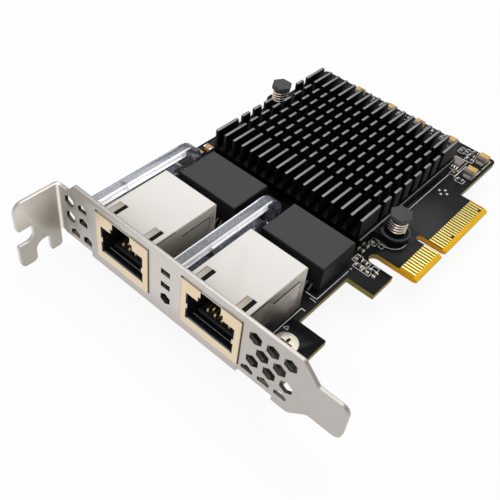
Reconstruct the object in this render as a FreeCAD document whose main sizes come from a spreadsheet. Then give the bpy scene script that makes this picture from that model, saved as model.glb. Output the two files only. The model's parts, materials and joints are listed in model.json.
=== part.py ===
import FreeCAD, Part
import math
import os
import types

import Sketcher

# A low-profile network interface card, drawn in millimetres.
# X runs from the board's upper edge towards the edge connector.
# Y runs from the bracket's front face into the chassis.
# Z is the height above the board's component side.
# Each placement then moves the whole card so that its origin is the bottom centre.

SIZES = (
    # circuit board
    ("board_thickness", 1.57, "laminate thickness"),
    ("board_gap", 0.1, "gap between the board and the inside of the tabs' bends"),
    ("board_far_end", 103.1, "rear edge from the bracket's front face"),
    ("board_main_edge", 60.6, "lower edge behind the connector"),
    ("board_tab_edge", 64.2, "lower edge at the bracket"),
    ("board_tab_end", 17.7, "end of the tab at the bracket"),
    ("board_waist", 56.8, "lower edge between tab and hook"),
    ("board_corner", 1.2, "radius of the rear corners"),
    ("hook_start", 35.8, "front edge of the retaining hook"),
    ("hook_edge", 64.2, "lower edge of the retaining hook"),
    ("slot_start", 43.9, "front wall of the deep slot"),
    ("slot_bottom", 56.4, "closed end of the deep slot"),
    ("connector_start", 47.25, "front end of the edge connector"),
    ("connector_edge", 68.9, "contact edge of the edge connector"),
    ("key_distance", 12.55, "key notch centre from the connector's front end"),
    ("key_width", 1.9, "width of the key notch"),
    ("key_bottom", 61.0, "closed end of the key notch"),
    ("connector_end", 82.45, "rear end of the edge connector"),
    ("bevel_length", 1.1, "bevel along the contact edge"),
    ("bevel_depth", 0.4, "bevel depth on each side"),
    # edge contacts
    ("contact_pitch", 1.0, "spacing of the edge contacts"),
    ("contact_width", 0.7, "width of an edge contact"),
    ("contact_inner", 63.8, "inner end of the edge contacts"),
    ("contact_margin", 1.1, "first contact centre from the connector's end"),
    ("contact_plating", 0.05, "height of the plating"),
    ("contact_short", 0.8, "how much shorter the presence contacts are"),
    ("key_contact_step", 2.0, "spacing of the contacts on either side of the key"),
    # bracket
    ("sheet", 0.9, "bracket sheet thickness"),
    ("bracket_top", 15.4, "upper edge of the plate"),
    ("bracket_bottom", -3.0, "lower edge of the plate"),
    ("bend_inside", 0.35, "inside radius of the bends"),
    ("flange_face", -1.0, "seating face of the flange"),
    ("flange_top", 12.4, "upper edge of the flange"),
    ("flange_reach", 11.7, "outer edge of the flange"),
    ("ear_reach", 12.0, "outer edge of the outer ear"),
    ("ear_bottom", -6.7, "lower end of the outer ear"),
    ("inner_ear_bottom", -6.4, "lower end of the inner ear"),
    ("inner_ear_width", 3.3, "width of the inner ear"),
    ("screw_slot_low", 0.15, "lower wall of the screw slot"),
    ("screw_slot_height", 4.42, "height of the screw slot"),
    ("screw_slot_end", 7.6, "closed end of the screw slot"),
    ("notch_outer", 7.6, "outer wall of the U notch"),
    ("notch_top", -1.3, "closed end of the U notch"),
    ("shoulder_start", 2.2, "start of the step in the upper edge"),
    ("shoulder_end", 4.9, "end of the step in the upper edge"),
    ("taper_top_start", 69.2, "start of the taper in the upper edge"),
    ("taper_top_end", 73.2, "end of the taper in the upper edge"),
    ("taper_low_start", 68.2, "start of the taper in the lower edge"),
    ("taper_low_end", 72.5, "end of the taper in the lower edge"),
    ("tongue_low", 1.12, "lower edge of the tongue"),
    ("tongue_high", 11.31, "upper edge of the tongue"),
    ("tongue_end", 80.4, "end of the tongue"),
    ("tongue_corner", 2.0, "corner radius of the tongue"),
    ("tab_width", 9.1, "width of a folded tab"),
    ("tab_relief", 0.25, "relief cut beside a folded tab"),
    ("tab_upper_centre", 4.85, "centre of the tab at the flange end"),
    ("tab_lower_centre", 59.2, "centre of the tab at the tongue end"),
    ("tab_end", 14.6, "end of the folded tabs"),
    ("port_clearance", 0.3, "gap around a jack in its opening"),
    ("vent_flats", 3.08, "vent hexagon across flats"),
    ("vent_pitch", 4.34, "vent spacing along the card"),
    ("vent_row", 3.6, "vent row spacing"),
    ("vent_start", 58.05, "first vent in the top row"),
    ("vent_top_row", 11.5, "height of the top row"),
    ("vent_low_start", 57.1, "first vent in the cut-off row"),
    ("vent_low_crest", 1.85, "top corner of the cut-off row"),
    ("vent_low_cut", -0.1, "flat end of the cut-off row"),
    ("small_vent_flats", 2.9, "vent at the flange end, across flats"),
    ("small_vent_x", 2.85, "vent column at the flange end"),
    ("small_vent_high", 9.6, "upper vent of that column"),
    ("small_vent_low", 4.9, "lower vent of that column"),
    ("small_vent_last", 4.1, "cut-off vent of that column"),
    ("window_width", 2.76, "width of an indicator window"),
    ("window_height", 2.2, "height of an indicator window"),
    ("middle_window_height", 1.6, "height of a window between the jacks"),
    # bracket screws
    ("screw_from_face", 9.7, "screw centre from the bracket's front face"),
    ("screw_radius", 1.45, "screw thread radius"),
    ("screw_head_radius", 2.8, "screw head radius"),
    ("screw_head_height", 2.2, "screw head height"),
    ("screw_length", 3.5, "screw length under the head"),
    ("screw_clearance", 0.05, "gap between a screw and its holes"),
    ("recess_length", 3.0, "length of the cross recess"),
    ("recess_width", 0.7, "width of the cross recess"),
    ("recess_depth", 1.2, "depth of the cross recess"),
    # jacks
    ("jack_upper_centre", 20.33, "centre of the jack at the flange end"),
    ("jack_lower_centre", 46.46, "centre of the jack at the tongue end"),
    ("jack_width", 16.25, "jack width over the side flaps"),
    ("jack_height", 13.2, "jack height"),
    ("jack_end", 20.8, "rear face of a jack"),
    ("jack_proud", 0.3, "how far a jack stands out of the bracket"),
    ("can_sheet", 0.25, "sheet thickness of the top shield"),
    ("flap_sheet", 0.2, "sheet thickness of the front shield"),
    ("face_drop", 0.15, "front shield below the board's top"),
    ("face_rise", 0.1, "front shield above the jack's top"),
    ("aperture_width", 13.2, "width of the port aperture"),
    ("aperture_low", 2.1, "lower edge of the port aperture"),
    ("aperture_high", 9.9, "upper edge of the port aperture"),
    ("latch_step_width", 6.8, "width of the latch step"),
    ("latch_step_high", 11.3, "upper edge of the latch step"),
    ("latch_width", 5.5, "width of the latch slot"),
    ("finger_inset", 0.45, "how far the grounding fingers reach in"),
    ("finger_low", 5.2, "lower edge of the grounding fingers"),
    ("finger_high", 6.6, "upper edge of the grounding fingers"),
    ("lip_depth", 0.9, "depth of the lip under the plug"),
    ("flap_end", 18.5, "rear end of the side flaps"),
    ("flap_step", 10.5, "upper edge of the flaps' rear part"),
    ("slot_width", 1.1, "width of a slot in the top shield"),
    ("slot_length", 3.7, "length of a slot in the top shield"),
    ("slot_from_face", 2.3, "front end of a slot in the top shield"),
    ("slot_spread", 11.0, "spacing of the two slots"),
    ("slot_offset", 0.65, "slots' shift from the jack's centre"),
    ("strip_width", 1.3, "width of the pressed strip beside a slot"),
    ("strip_depth", 0.13, "depth of the pressed strip"),
    ("housing_gap", 0.05, "gap between shield and housing"),
    ("housing_end", 19.6, "rear face of the housing"),
    ("cavity_width", 11.9, "width of the plug cavity"),
    ("cavity_low", 2.35, "floor of the plug cavity"),
    ("cavity_high", 9.6, "ceiling of the plug cavity"),
    ("cavity_depth", 14.0, "depth of the plug cavity"),
    ("channel_width", 6.2, "width of the latch channel"),
    ("channel_high", 12.2, "ceiling of the latch channel"),
    ("insert_width", 11.2, "width of the contact insert"),
    ("insert_front", 2.6, "front edge of the contact insert"),
    ("insert_floor", 0.75, "thickness of the contact insert's floor"),
    ("insert_block", 1.9, "length of the contact insert's rear block"),
    ("insert_height", 3.0, "height of the contact insert's rear block"),
    ("spring_pitch", 1.02, "spacing of the spring contacts"),
    ("spring_width", 0.45, "width of a spring contact"),
    ("spring_thickness", 0.3, "thickness of a spring contact"),
    # light pipes and lamps
    ("pipe_upper_centre", 7.3, "light pipe at the flange end"),
    ("pipe_lower_centre", 33.6, "light pipe between the jacks"),
    ("pipe_width", 2.8, "width of a light pipe"),
    ("pipe_front", 1.2, "front end of a light pipe"),
    ("pipe_top", 11.2, "top of the upper arm"),
    ("pipe_arm", 2.1, "thickness of an arm"),
    ("pipe_low_top", 7.2, "top of the lower arm"),
    ("pipe_rear", 37.0, "rear end of a light pipe"),
    ("pipe_leg", 2.4, "thickness of a leg"),
    ("pipe_low_rear", 31.8, "rear end of the lower arm"),
    ("pipe_bend", 6.0, "outer radius of the upper arm's bend"),
    ("pipe_low_bend", 4.0, "outer radius of the lower arm's bend"),
    ("pipe_web_start", 12.2, "front of the web between the arms"),
    ("pipe_web_end", 13.2, "rear of the web between the arms"),
    ("pipe_foot", 1.0, "height of the legs above the board"),
    ("peg_width", 1.6, "width of a locating peg"),
    ("peg_front", 13.4, "front peg of a light pipe"),
    ("peg_rear", 21.5, "rear peg of a light pipe"),
    ("lamp_length", 1.8, "length of a status lamp"),
    ("lamp_width", 1.2, "width of a status lamp"),
    ("lamp_height", 0.8, "height of a status lamp"),
    # magnetics
    ("magnetics_upper_x", 10.3, "edge of the module at the flange end"),
    ("magnetics_lower_x", 36.7, "edge of the module at the tongue end"),
    ("magnetics_front", 27.1, "front face of the modules"),
    ("magnetics_length", 18.2, "module length"),
    ("magnetics_width", 12.3, "module width"),
    ("magnetics_top", 7.74, "top of the modules"),
    ("magnetics_standoff", 0.3, "gap under the modules"),
    ("magnetics_bevel", 0.35, "bevel around the modules' top"),
    ("lead_pitch", 1.27, "spacing of the modules' leads"),
    ("lead_width", 0.45, "width of a lead"),
    ("lead_thickness", 0.25, "thickness of a lead"),
    ("lead_reach", 1.3, "how far a lead reaches out"),
    ("lead_height", 1.6, "height at which a lead leaves the module"),
    # heatsink
    ("sink_left", 5.7, "heatsink base, upper edge"),
    ("sink_right", 53.3, "heatsink base, lower edge"),
    ("sink_front", 44.85, "front of the heatsink"),
    ("sink_rear", 90.7, "rear of the heatsink"),
    ("sink_bottom", 1.5, "underside of the base"),
    ("sink_base", 1.9, "thickness of the base"),
    ("fin_top", 8.9, "top of the fins"),
    ("fin_start", 6.35, "centre of the first fin"),
    ("fin_pitch", 2.86, "fin spacing"),
    ("fin_thickness", 0.85, "fin thickness"),
    ("channel_start", 52.8, "front wall of the first cross channel"),
    ("channel_pitch", 4.675, "spacing of the cross channels"),
    ("channel_gap", 1.8, "width of a cross channel"),
    ("ear_radius", 3.7, "radius of the heatsink ears"),
    ("ear_root", 5.0, "half length of an ear's root"),
    # push pins
    ("pin_near_x", 57.4, "pin near the edge connector"),
    ("pin_near_y", 54.15, "pin near the edge connector"),
    ("pin_far_x", 3.75, "pin at the upper edge"),
    ("pin_far_y", 74.4, "pin at the upper edge"),
    ("pin_radius", 1.4, "pin shank radius"),
    ("pin_clearance", 0.15, "gap between a pin and its holes"),
    ("pin_top", 9.1, "top of the pin heads"),
    ("pin_head_height", 1.2, "height of a pin head"),
    ("pin_flats", 5.15, "pin head across flats"),
    ("barb_radius", 1.9, "radius of the barbs under the board"),
    ("barb_gap", 0.1, "gap between the barbs and the board"),
    ("barb_height", 0.5, "height of the barbs"),
    ("pin_bottom", -4.6, "tip of a pin"),
    ("pin_split", 0.6, "width of the split in a pin's tip"),
    ("spring_radius", 2.05, "coil radius of a pin spring"),
    ("wire_radius", 0.3, "wire radius of a pin spring"),
    ("coil_pitch", 1.75, "pitch of a pin spring"),
    # controller and thermal pad
    ("chip_size", 25.0, "controller chip edge"),
    ("chip_height", 1.1, "controller chip height"),
    ("chip_centre_x", 29.2, "controller chip centre"),
    ("chip_centre_y", 66.5, "controller chip centre"),
    ("pad_size", 22.0, "thermal pad edge"),
    # chip parts
    ("large_length", 3.5, "large capacitor length"),
    ("large_width", 2.8, "large capacitor width"),
    ("large_height", 1.9, "large capacitor height"),
    ("foot_width", 2.2, "width of a large capacitor's folded foot"),
    ("foot_length", 0.8, "length of a foot under the body"),
    ("foot_height", 0.9, "how far a foot is folded up the end"),
    ("foot_sheet", 0.12, "thickness of a foot"),
    ("tan_length", 2.4, "tan capacitor length"),
    ("tan_width", 1.7, "tan capacitor width"),
    ("tan_height", 1.2, "tan capacitor height"),
    ("tan_end", 0.4, "tan capacitor terminal length"),
    ("small_length", 1.6, "small chip part length"),
    ("small_width", 0.8, "small chip part width"),
    ("small_height", 0.6, "small chip part height"),
    ("small_end", 0.3, "small chip part terminal length"),
    ("tiny_length", 1.0, "decoupling capacitor length"),
    ("tiny_width", 0.5, "decoupling capacitor width"),
    ("tiny_height", 0.5, "decoupling capacitor height"),
    ("tiny_end", 0.25, "decoupling capacitor terminal length"),
    ("end_wrap", 0.04, "how far a terminal stands out round its body"),
    # leaded chips
    ("regulator_x", 53.2, "regulator centre"),
    ("regulator_y", 93.4, "regulator centre"),
    ("regulator_length", 3.1, "regulator length"),
    ("regulator_width", 3.1, "regulator width"),
    ("regulator_height", 1.1, "regulator height"),
    ("regulator_pitch", 0.8, "regulator lead spacing"),
    ("flash_x", 14.0, "flash chip centre"),
    ("flash_y", 56.0, "flash chip centre"),
    ("flash_length", 5.2, "flash chip length"),
    ("flash_width", 5.3, "flash chip width"),
    ("flash_height", 1.8, "flash chip height"),
    ("flash_pitch", 1.27, "flash chip lead spacing"),
    ("chip_lead_width", 0.4, "width of a chip lead"),
    ("chip_lead_thickness", 0.2, "thickness of a chip lead"),
    ("chip_lead_reach", 0.9, "how far a chip lead reaches out"),
    ("chip_standoff", 0.1, "gap under a leaded chip"),
    ("crystal_x", 26.0, "crystal centre"),
    ("crystal_y", 52.0, "crystal centre"),
    ("crystal_length", 5.0, "crystal length"),
    ("crystal_width", 3.2, "crystal width"),
    ("crystal_height", 1.0, "crystal height"),
    # solder joints of the jacks
    ("joint_width", 1.1, "width of a solder joint"),
    ("joint_height", 0.7, "height of a solder joint"),
    ("joint_row", 12.6, "first row of contact joints"),
    ("joint_step", 2.54, "spacing of the two rows"),
    ("post_row", 17.2, "row of shield post joints"),
)

ROOT3 = math.sqrt(3.0)
NORMALS = {"XY_Plane": 1, "XZ_Plane": -1, "YZ_Plane": 1}
OUTLINES_TO_A_SKETCH = 4

doc = FreeCAD.newDocument("network_interface_card")
sheet = doc.addObject("Spreadsheet::Sheet", "Sizes")


class Size:
    """A length together with the sheet expression that gives it."""

    def __init__(self, value, text):
        self.value = value
        self.text = text

    def __add__(self, other):
        other = as_size(other)
        return Size(self.value + other.value, "(%s + %s)" % (self.text, other.text))

    def __radd__(self, other):
        return as_size(other) + self

    def __sub__(self, other):
        other = as_size(other)
        return Size(self.value - other.value, "(%s - %s)" % (self.text, other.text))

    def __rsub__(self, other):
        return as_size(other) - self

    def __mul__(self, other):
        other = as_size(other)
        return Size(self.value * other.value, "(%s * %s)" % (self.text, other.text))

    def __rmul__(self, other):
        return as_size(other) * self

    def __truediv__(self, other):
        other = as_size(other)
        return Size(self.value / other.value, "(%s / %s)" % (self.text, other.text))

    def __neg__(self):
        return 0 - self


def as_size(item):
    if isinstance(item, Size):
        return item
    return Size(float(item), "(%.9g)" % item)


def read_sizes():
    """Fill the sheet and give each size back under its own name."""
    found = types.SimpleNamespace()
    for row, (name, value, note) in enumerate(SIZES, start=1):
        sheet.set("A%d" % row, name)
        sheet.set("B%d" % row, str(value))
        sheet.set("C%d" % row, note)
        sheet.setAlias("B%d" % row, name)
        setattr(found, name, Size(float(value), "Sizes." + name))
    return found


S = read_sizes()
doc.recompute()

# Values that follow from the sizes
BACK = S.sheet
BOARD_FRONT = S.sheet + S.bend_inside + S.board_gap
BOARD_BOTTOM = -S.board_thickness
FLANGE_BACK = S.flange_face - S.sheet
BEND_X = S.flange_face + S.bend_inside
KEY_CENTRE = S.connector_start + S.key_distance
JACK_BACK_OF_FACE = S.flap_sheet - S.jack_proud
CAN_HALF = S.jack_width / 2 - S.flap_sheet
SINK_BASE_TOP = S.sink_bottom + S.sink_base
HEAD_BOTTOM = S.pin_top - S.pin_head_height

ORIGIN = (
    -(FLANGE_BACK + S.tongue_end) / 2,
    -(S.board_far_end - S.ear_reach) / 2,
    -S.ear_bottom,
)

BODIES = []


def new_body(name):
    body = doc.addObject("PartDesign::Body", name)
    body.Label = name
    body.AllowCompound = True
    for axis, shift in zip("xyz", ORIGIN):
        body.setExpression("Placement.Base." + axis, shift.text)
    BODIES.append(body)
    return body


def origin_plane(body, role):
    for item in body.Origin.OriginFeatures:
        if item.Role == role:
            return item
    raise ValueError("no plane " + role)


def new_sketch(body, name, role, level, shift=None):
    """A sketch on a plane at a level along its axis; shift moves its origin sideways."""
    item = body.newObject("Sketcher::SketchObject", name)
    item.AttachmentSupport = [(origin_plane(body, role), "")]
    item.MapMode = "FlatFace"
    level = as_size(level) * NORMALS[role]
    item.setExpression("AttachmentOffset.Base.z", level.text)
    if shift is not None:
        item.setExpression("AttachmentOffset.Base.x", as_size(shift).text)
    return item


def corner_ends(before, point, after, radius):
    """Where a rounding of this radius meets the two lines of a corner, and its arc."""
    to_before = (before - point).normalize()
    to_after = (after - point).normalize()
    half = to_before.getAngle(to_after) / 2
    reach = radius / math.tan(half)
    start = point + to_before * reach
    end = point + to_after * reach
    middle = (to_before + to_after).normalize()
    centre = point + middle * (radius / math.sin(half))
    turns_left = (point - before).cross(after - point).z > 0
    first = start if turns_left else end
    last = end if turns_left else start
    angle_first = math.atan2(first.y - centre.y, first.x - centre.x)
    angle_last = math.atan2(last.y - centre.y, last.x - centre.x)
    if angle_last <= angle_first:
        angle_last += 2 * math.pi
    circle = Part.Circle(centre, FreeCAD.Vector(0, 0, 1), radius)
    arc = Part.ArcOfCircle(circle, angle_first, angle_last)
    return start, end, arc, turns_left


def draw(item, outlines):
    """Draw closed outlines whose corners, radii and centres follow the sheet."""
    curves = []
    points = []
    rules = []
    for outline in outlines:
        if isinstance(outline, tuple):
            u, v, radius = [as_size(part) for part in outline]
            centre = FreeCAD.Vector(u.value, v.value, 0)
            curve = Part.Circle(centre, FreeCAD.Vector(0, 0, 1), radius.value)
            index = len(curves)
            curves.append(curve)
            rules.append(("DistanceX", (-1, 1, index, 3), u))
            rules.append(("DistanceY", (-1, 1, index, 3), v))
            rules.append(("Radius", (index,), radius))
        else:
            draw_polygon(outline, curves, points, rules)
    item.addGeometry(curves, False)
    if points:
        item.addGeometry([entry[0] for entry in points], True)
    for number, (point, rounded) in enumerate(points):
        index = len(curves) + number
        line_in, line_out, u, v = rounded
        rules.append(("PointOnObject", (index, 1, line_in), None))
        rules.append(("PointOnObject", (index, 1, line_out), None))
        rules.append(("DistanceX", (-1, 1, index, 1), u))
        rules.append(("DistanceY", (-1, 1, index, 1), v))
    constraints = []
    for kind, refs, amount in rules:
        if amount is None:
            constraints.append(Sketcher.Constraint(kind, *refs))
        else:
            constraints.append(Sketcher.Constraint(kind, *refs, amount.value))
    item.addConstraint(constraints)
    for number, (kind, refs, amount) in enumerate(rules):
        if amount is not None:
            item.setExpression("Constraints[%d]" % number, amount.text)


def draw_polygon(corners, curves, points, rules):
    count = len(corners)
    sizes = [[as_size(part) for part in corner] for corner in corners]
    places = [FreeCAD.Vector(c[0].value, c[1].value, 0) for c in sizes]
    ends = []
    arcs = []
    for i in range(count):
        if len(sizes[i]) < 3:
            ends.append((places[i], places[i]))
            continue
        radius = sizes[i][2].value
        after = places[(i + 1) % count]
        start, end, arc, turns_left = corner_ends(places[i - 1], places[i], after, radius)
        ends.append((start, end))
        arcs.append((i, arc, turns_left))
    first = len(curves)
    for i in range(count):
        curves.append(Part.LineSegment(ends[i][1], ends[(i + 1) % count][0]))
    rounded = set()
    for i, arc, turns_left in arcs:
        index = len(curves)
        curves.append(arc)
        rounded.add(i)
        line_in = first + (i - 1) % count
        line_out = first + i
        arc_in = 1 if turns_left else 2
        arc_out = 2 if turns_left else 1
        rules.append(("Tangent", (line_in, 2, index, arc_in), None))
        rules.append(("Tangent", (index, arc_out, line_out, 1), None))
        rules.append(("Radius", (index,), sizes[i][2]))
        entry = (line_in, line_out, sizes[i][0], sizes[i][1])
        points.append((Part.Point(places[i]), entry))
    for i in range(count):
        if i in rounded:
            continue
        line_in = first + (i - 1) % count
        line_out = first + i
        rules.append(("Coincident", (line_in, 2, line_out, 1), None))
        rules.append(("DistanceX", (-1, 1, line_out, 1), sizes[i][0]))
        rules.append(("DistanceY", (-1, 1, line_out, 1), sizes[i][1]))


def rect(u0, v0, u1, v1, radius=None):
    corners = [(u0, v0), (u1, v0), (u1, v1), (u0, v1)]
    if radius is None:
        return corners
    return [corner + (radius,) for corner in corners]


def rect_at(u, v, width, height, radius=None):
    return rect(u - width / 2, v - height / 2, u + width / 2, v + height / 2, radius)


def hexagon(u, v, flats):
    """A regular hexagon with a corner at the top and one at the bottom."""
    half = flats / 2
    tall = flats / ROOT3
    return [
        (u, v - tall),
        (u + half, v - tall / 2),
        (u + half, v + tall / 2),
        (u, v + tall),
        (u - half, v + tall / 2),
        (u - half, v - tall / 2),
    ]


def hexagon_along(u, v, flats):
    """A regular hexagon with a corner at either side."""
    return [(u + down, v + across) for across, down in hexagon(as_size(0), as_size(0), flats)][::-1]


def cut_hexagon(u, crest, flats, cut):
    """The top of a hexagon, cut off flat below."""
    half = flats / 2
    shoulder = crest - flats / (2 * ROOT3)
    return [(u - half, cut), (u + half, cut), (u + half, shoulder), (u, crest), (u - half, shoulder)]


def sweep(body, kind, name, role, level, depth, outlines, reverse):
    """Pad or pocket outlines, a few to a sketch."""
    feature = None
    for first in range(0, len(outlines), OUTLINES_TO_A_SKETCH):
        label = name if first == 0 else "%s_%d" % (name, first)
        item = new_sketch(body, label + "_outline", role, level)
        draw(item, outlines[first:first + OUTLINES_TO_A_SKETCH])
        feature = body.newObject(kind, label)
        feature.Profile = item
        feature.Reversed = reverse
        feature.setExpression("Length", as_size(depth).text)
    return feature


def extrude(body, name, role, level, depth, outlines):
    """Pad outlines from a level towards larger coordinates."""
    reverse = NORMALS[role] < 0
    return sweep(body, "PartDesign::Pad", name, role, level, depth, outlines, reverse)


def cut(body, name, role, level, depth, outlines):
    """Pocket outlines from a level towards larger coordinates."""
    reverse = NORMALS[role] > 0
    return sweep(body, "PartDesign::Pocket", name, role, level, depth, outlines, reverse)


def turn(body, name, x, y, outline):
    """Turn an outline of radius and height about an upright axis."""
    item = new_sketch(body, name + "_outline", "XZ_Plane", y, x)
    draw(item, [outline])
    feature = body.newObject("PartDesign::Revolution", name)
    feature.Profile = item
    feature.ReferenceAxis = (item, ["V_Axis"])
    feature.Angle = 360
    return feature


def top_edges(feature, height):
    """Names of the straight edges that lie at a height."""
    names = []
    for number, edge in enumerate(feature.Shape.Edges, start=1):
        heights = [vertex.Point.z for vertex in edge.Vertexes]
        if all(abs(z - height) < 1e-4 for z in heights):
            names.append("Edge%d" % number)
    return names


def bevel_top(body, name, feature, height, amount):
    doc.recompute()
    bevel = body.newObject("PartDesign::Chamfer", name)
    bevel.Base = (feature, top_edges(feature, height.value))
    bevel.setExpression("Size", amount.text)
    return bevel


# Circuit board

def make_board():
    body = new_body("circuit_board")
    slot_radius = (S.connector_start - S.slot_start) / 2 - 0.02
    key_radius = S.key_width / 2 - 0.02
    key_low = KEY_CENTRE - S.key_width / 2
    key_high = KEY_CENTRE + S.key_width / 2
    outline = [
        (0, BOARD_FRONT),
        (S.board_tab_edge, BOARD_FRONT),
        (S.board_tab_edge, S.board_tab_end),
        (S.board_waist, S.board_tab_end),
        (S.board_waist, S.hook_start),
        (S.hook_edge, S.hook_start),
        (S.hook_edge, S.slot_start),
        (S.slot_bottom, S.slot_start, slot_radius),
        (S.slot_bottom, S.connector_start, slot_radius),
        (S.connector_edge, S.connector_start),
        (S.connector_edge, key_low),
        (S.key_bottom, key_low, key_radius),
        (S.key_bottom, key_high, key_radius),
        (S.connector_edge, key_high),
        (S.connector_edge, S.connector_end),
        (S.board_main_edge, S.connector_end),
        (S.board_main_edge, S.board_far_end, S.board_corner),
        (0, S.board_far_end, S.board_corner),
    ]
    extrude(body, "laminate", "XY_Plane", BOARD_BOTTOM, S.board_thickness, [outline])
    pin_hole = S.pin_radius + S.pin_clearance
    screw_hole = S.screw_radius + S.screw_clearance
    holes = [
        (S.pin_near_x, S.pin_near_y, pin_hole),
        (S.pin_far_x, S.pin_far_y, pin_hole),
        (S.tab_upper_centre, S.screw_from_face, screw_hole),
        (S.tab_lower_centre, S.screw_from_face, screw_hole),
    ]
    cut(body, "holes", "XY_Plane", BOARD_BOTTOM - 1, S.board_thickness + 2, holes)
    start = S.connector_edge - S.bevel_length
    end = S.connector_edge + 0.5
    over = S.bevel_depth * 0.5 / S.bevel_length
    wedges = [
        [(start, 0), (end, -S.bevel_depth - over), (end, 0)],
        [(start, BOARD_BOTTOM), (end, BOARD_BOTTOM), (end, BOARD_BOTTOM + S.bevel_depth + over)],
    ]
    span = S.connector_end - S.connector_start + 2
    cut(body, "bevel", "XZ_Plane", S.connector_start - 1, span, wedges)


def contact_outlines():
    """Edge contacts on both sides of the key; two of them are shorter."""
    outer = S.connector_edge - S.bevel_length
    rows = []
    for number in range(32):
        step = number * S.contact_pitch
        if number > 10:
            step = step + S.key_contact_step
        y = S.connector_start + S.contact_margin + step
        end = outer
        if number in (16, 30):
            end = outer - S.contact_short
        low = y - S.contact_width / 2
        rows.append(rect(S.contact_inner, low, end, low + S.contact_width))
    return rows


def make_edge_contacts():
    rows = contact_outlines()
    body = new_body("edge_contacts_top")
    extrude(body, "top_contacts", "XY_Plane", 0, S.contact_plating, rows)
    body = new_body("edge_contacts_bottom")
    level = BOARD_BOTTOM - S.contact_plating
    extrude(body, "bottom_contacts", "XY_Plane", level, S.contact_plating, rows)


# Bracket

def bend(centre_u, centre_v, inside, quarter):
    """A quarter ring that joins two sheets; quarter gives the signs of its side."""
    side_u, side_v = quarter
    return centre_u, centre_v, inside, side_u, side_v


def ring_quarter(item, centre_u, centre_v, inside, side_u, side_v):
    """Draw a quarter ring between the two directions from its centre."""
    outside = inside + S.sheet
    u = centre_u.value
    v = centre_v.value
    centre = FreeCAD.Vector(u, v, 0)
    axis = FreeCAD.Vector(0, 0, 1)
    angle_u = 0 if side_u > 0 else math.pi
    angle_v = math.pi / 2 if side_v > 0 else -math.pi / 2
    low, high = sorted((angle_u, angle_v))
    if high - low > math.pi:
        low, high = high, low + 2 * math.pi
    arcs = []
    for radius in (inside.value, outside.value):
        arcs.append(Part.ArcOfCircle(Part.Circle(centre, axis, radius), low, high))
    lines = [
        Part.LineSegment(arcs[0].StartPoint, arcs[1].StartPoint),
        Part.LineSegment(arcs[0].EndPoint, arcs[1].EndPoint),
    ]
    item.addGeometry(arcs + lines, False)
    first_is_level = abs(math.sin(low)) < 0.5
    start_rule, end_rule = ("Horizontal", "Vertical") if first_is_level else ("Vertical", "Horizontal")
    item.addConstraint([
        Sketcher.Constraint("Coincident", 2, 1, 0, 1),
        Sketcher.Constraint("Coincident", 2, 2, 1, 1),
        Sketcher.Constraint("Coincident", 3, 1, 0, 2),
        Sketcher.Constraint("Coincident", 3, 2, 1, 2),
        Sketcher.Constraint("Coincident", 0, 3, 1, 3),
        Sketcher.Constraint("PointOnObject", 0, 3, 2),
        Sketcher.Constraint(start_rule, 2),
        Sketcher.Constraint(end_rule, 3),
        Sketcher.Constraint("DistanceX", -1, 1, 0, 3, u),
        Sketcher.Constraint("DistanceY", -1, 1, 0, 3, v),
        Sketcher.Constraint("Radius", 0, inside.value),
        Sketcher.Constraint("Radius", 1, outside.value),
    ])
    item.setExpression("Constraints[8]", centre_u.text)
    item.setExpression("Constraints[9]", centre_v.text)
    item.setExpression("Constraints[10]", inside.text)
    item.setExpression("Constraints[11]", outside.text)


def extrude_bend(body, name, role, level, depth, ring):
    item = new_sketch(body, name + "_outline", role, level)
    ring_quarter(item, *ring)
    feature = body.newObject("PartDesign::Pad", name)
    feature.Profile = item
    feature.Reversed = NORMALS[role] < 0
    feature.setExpression("Length", as_size(depth).text)
    return feature


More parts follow.
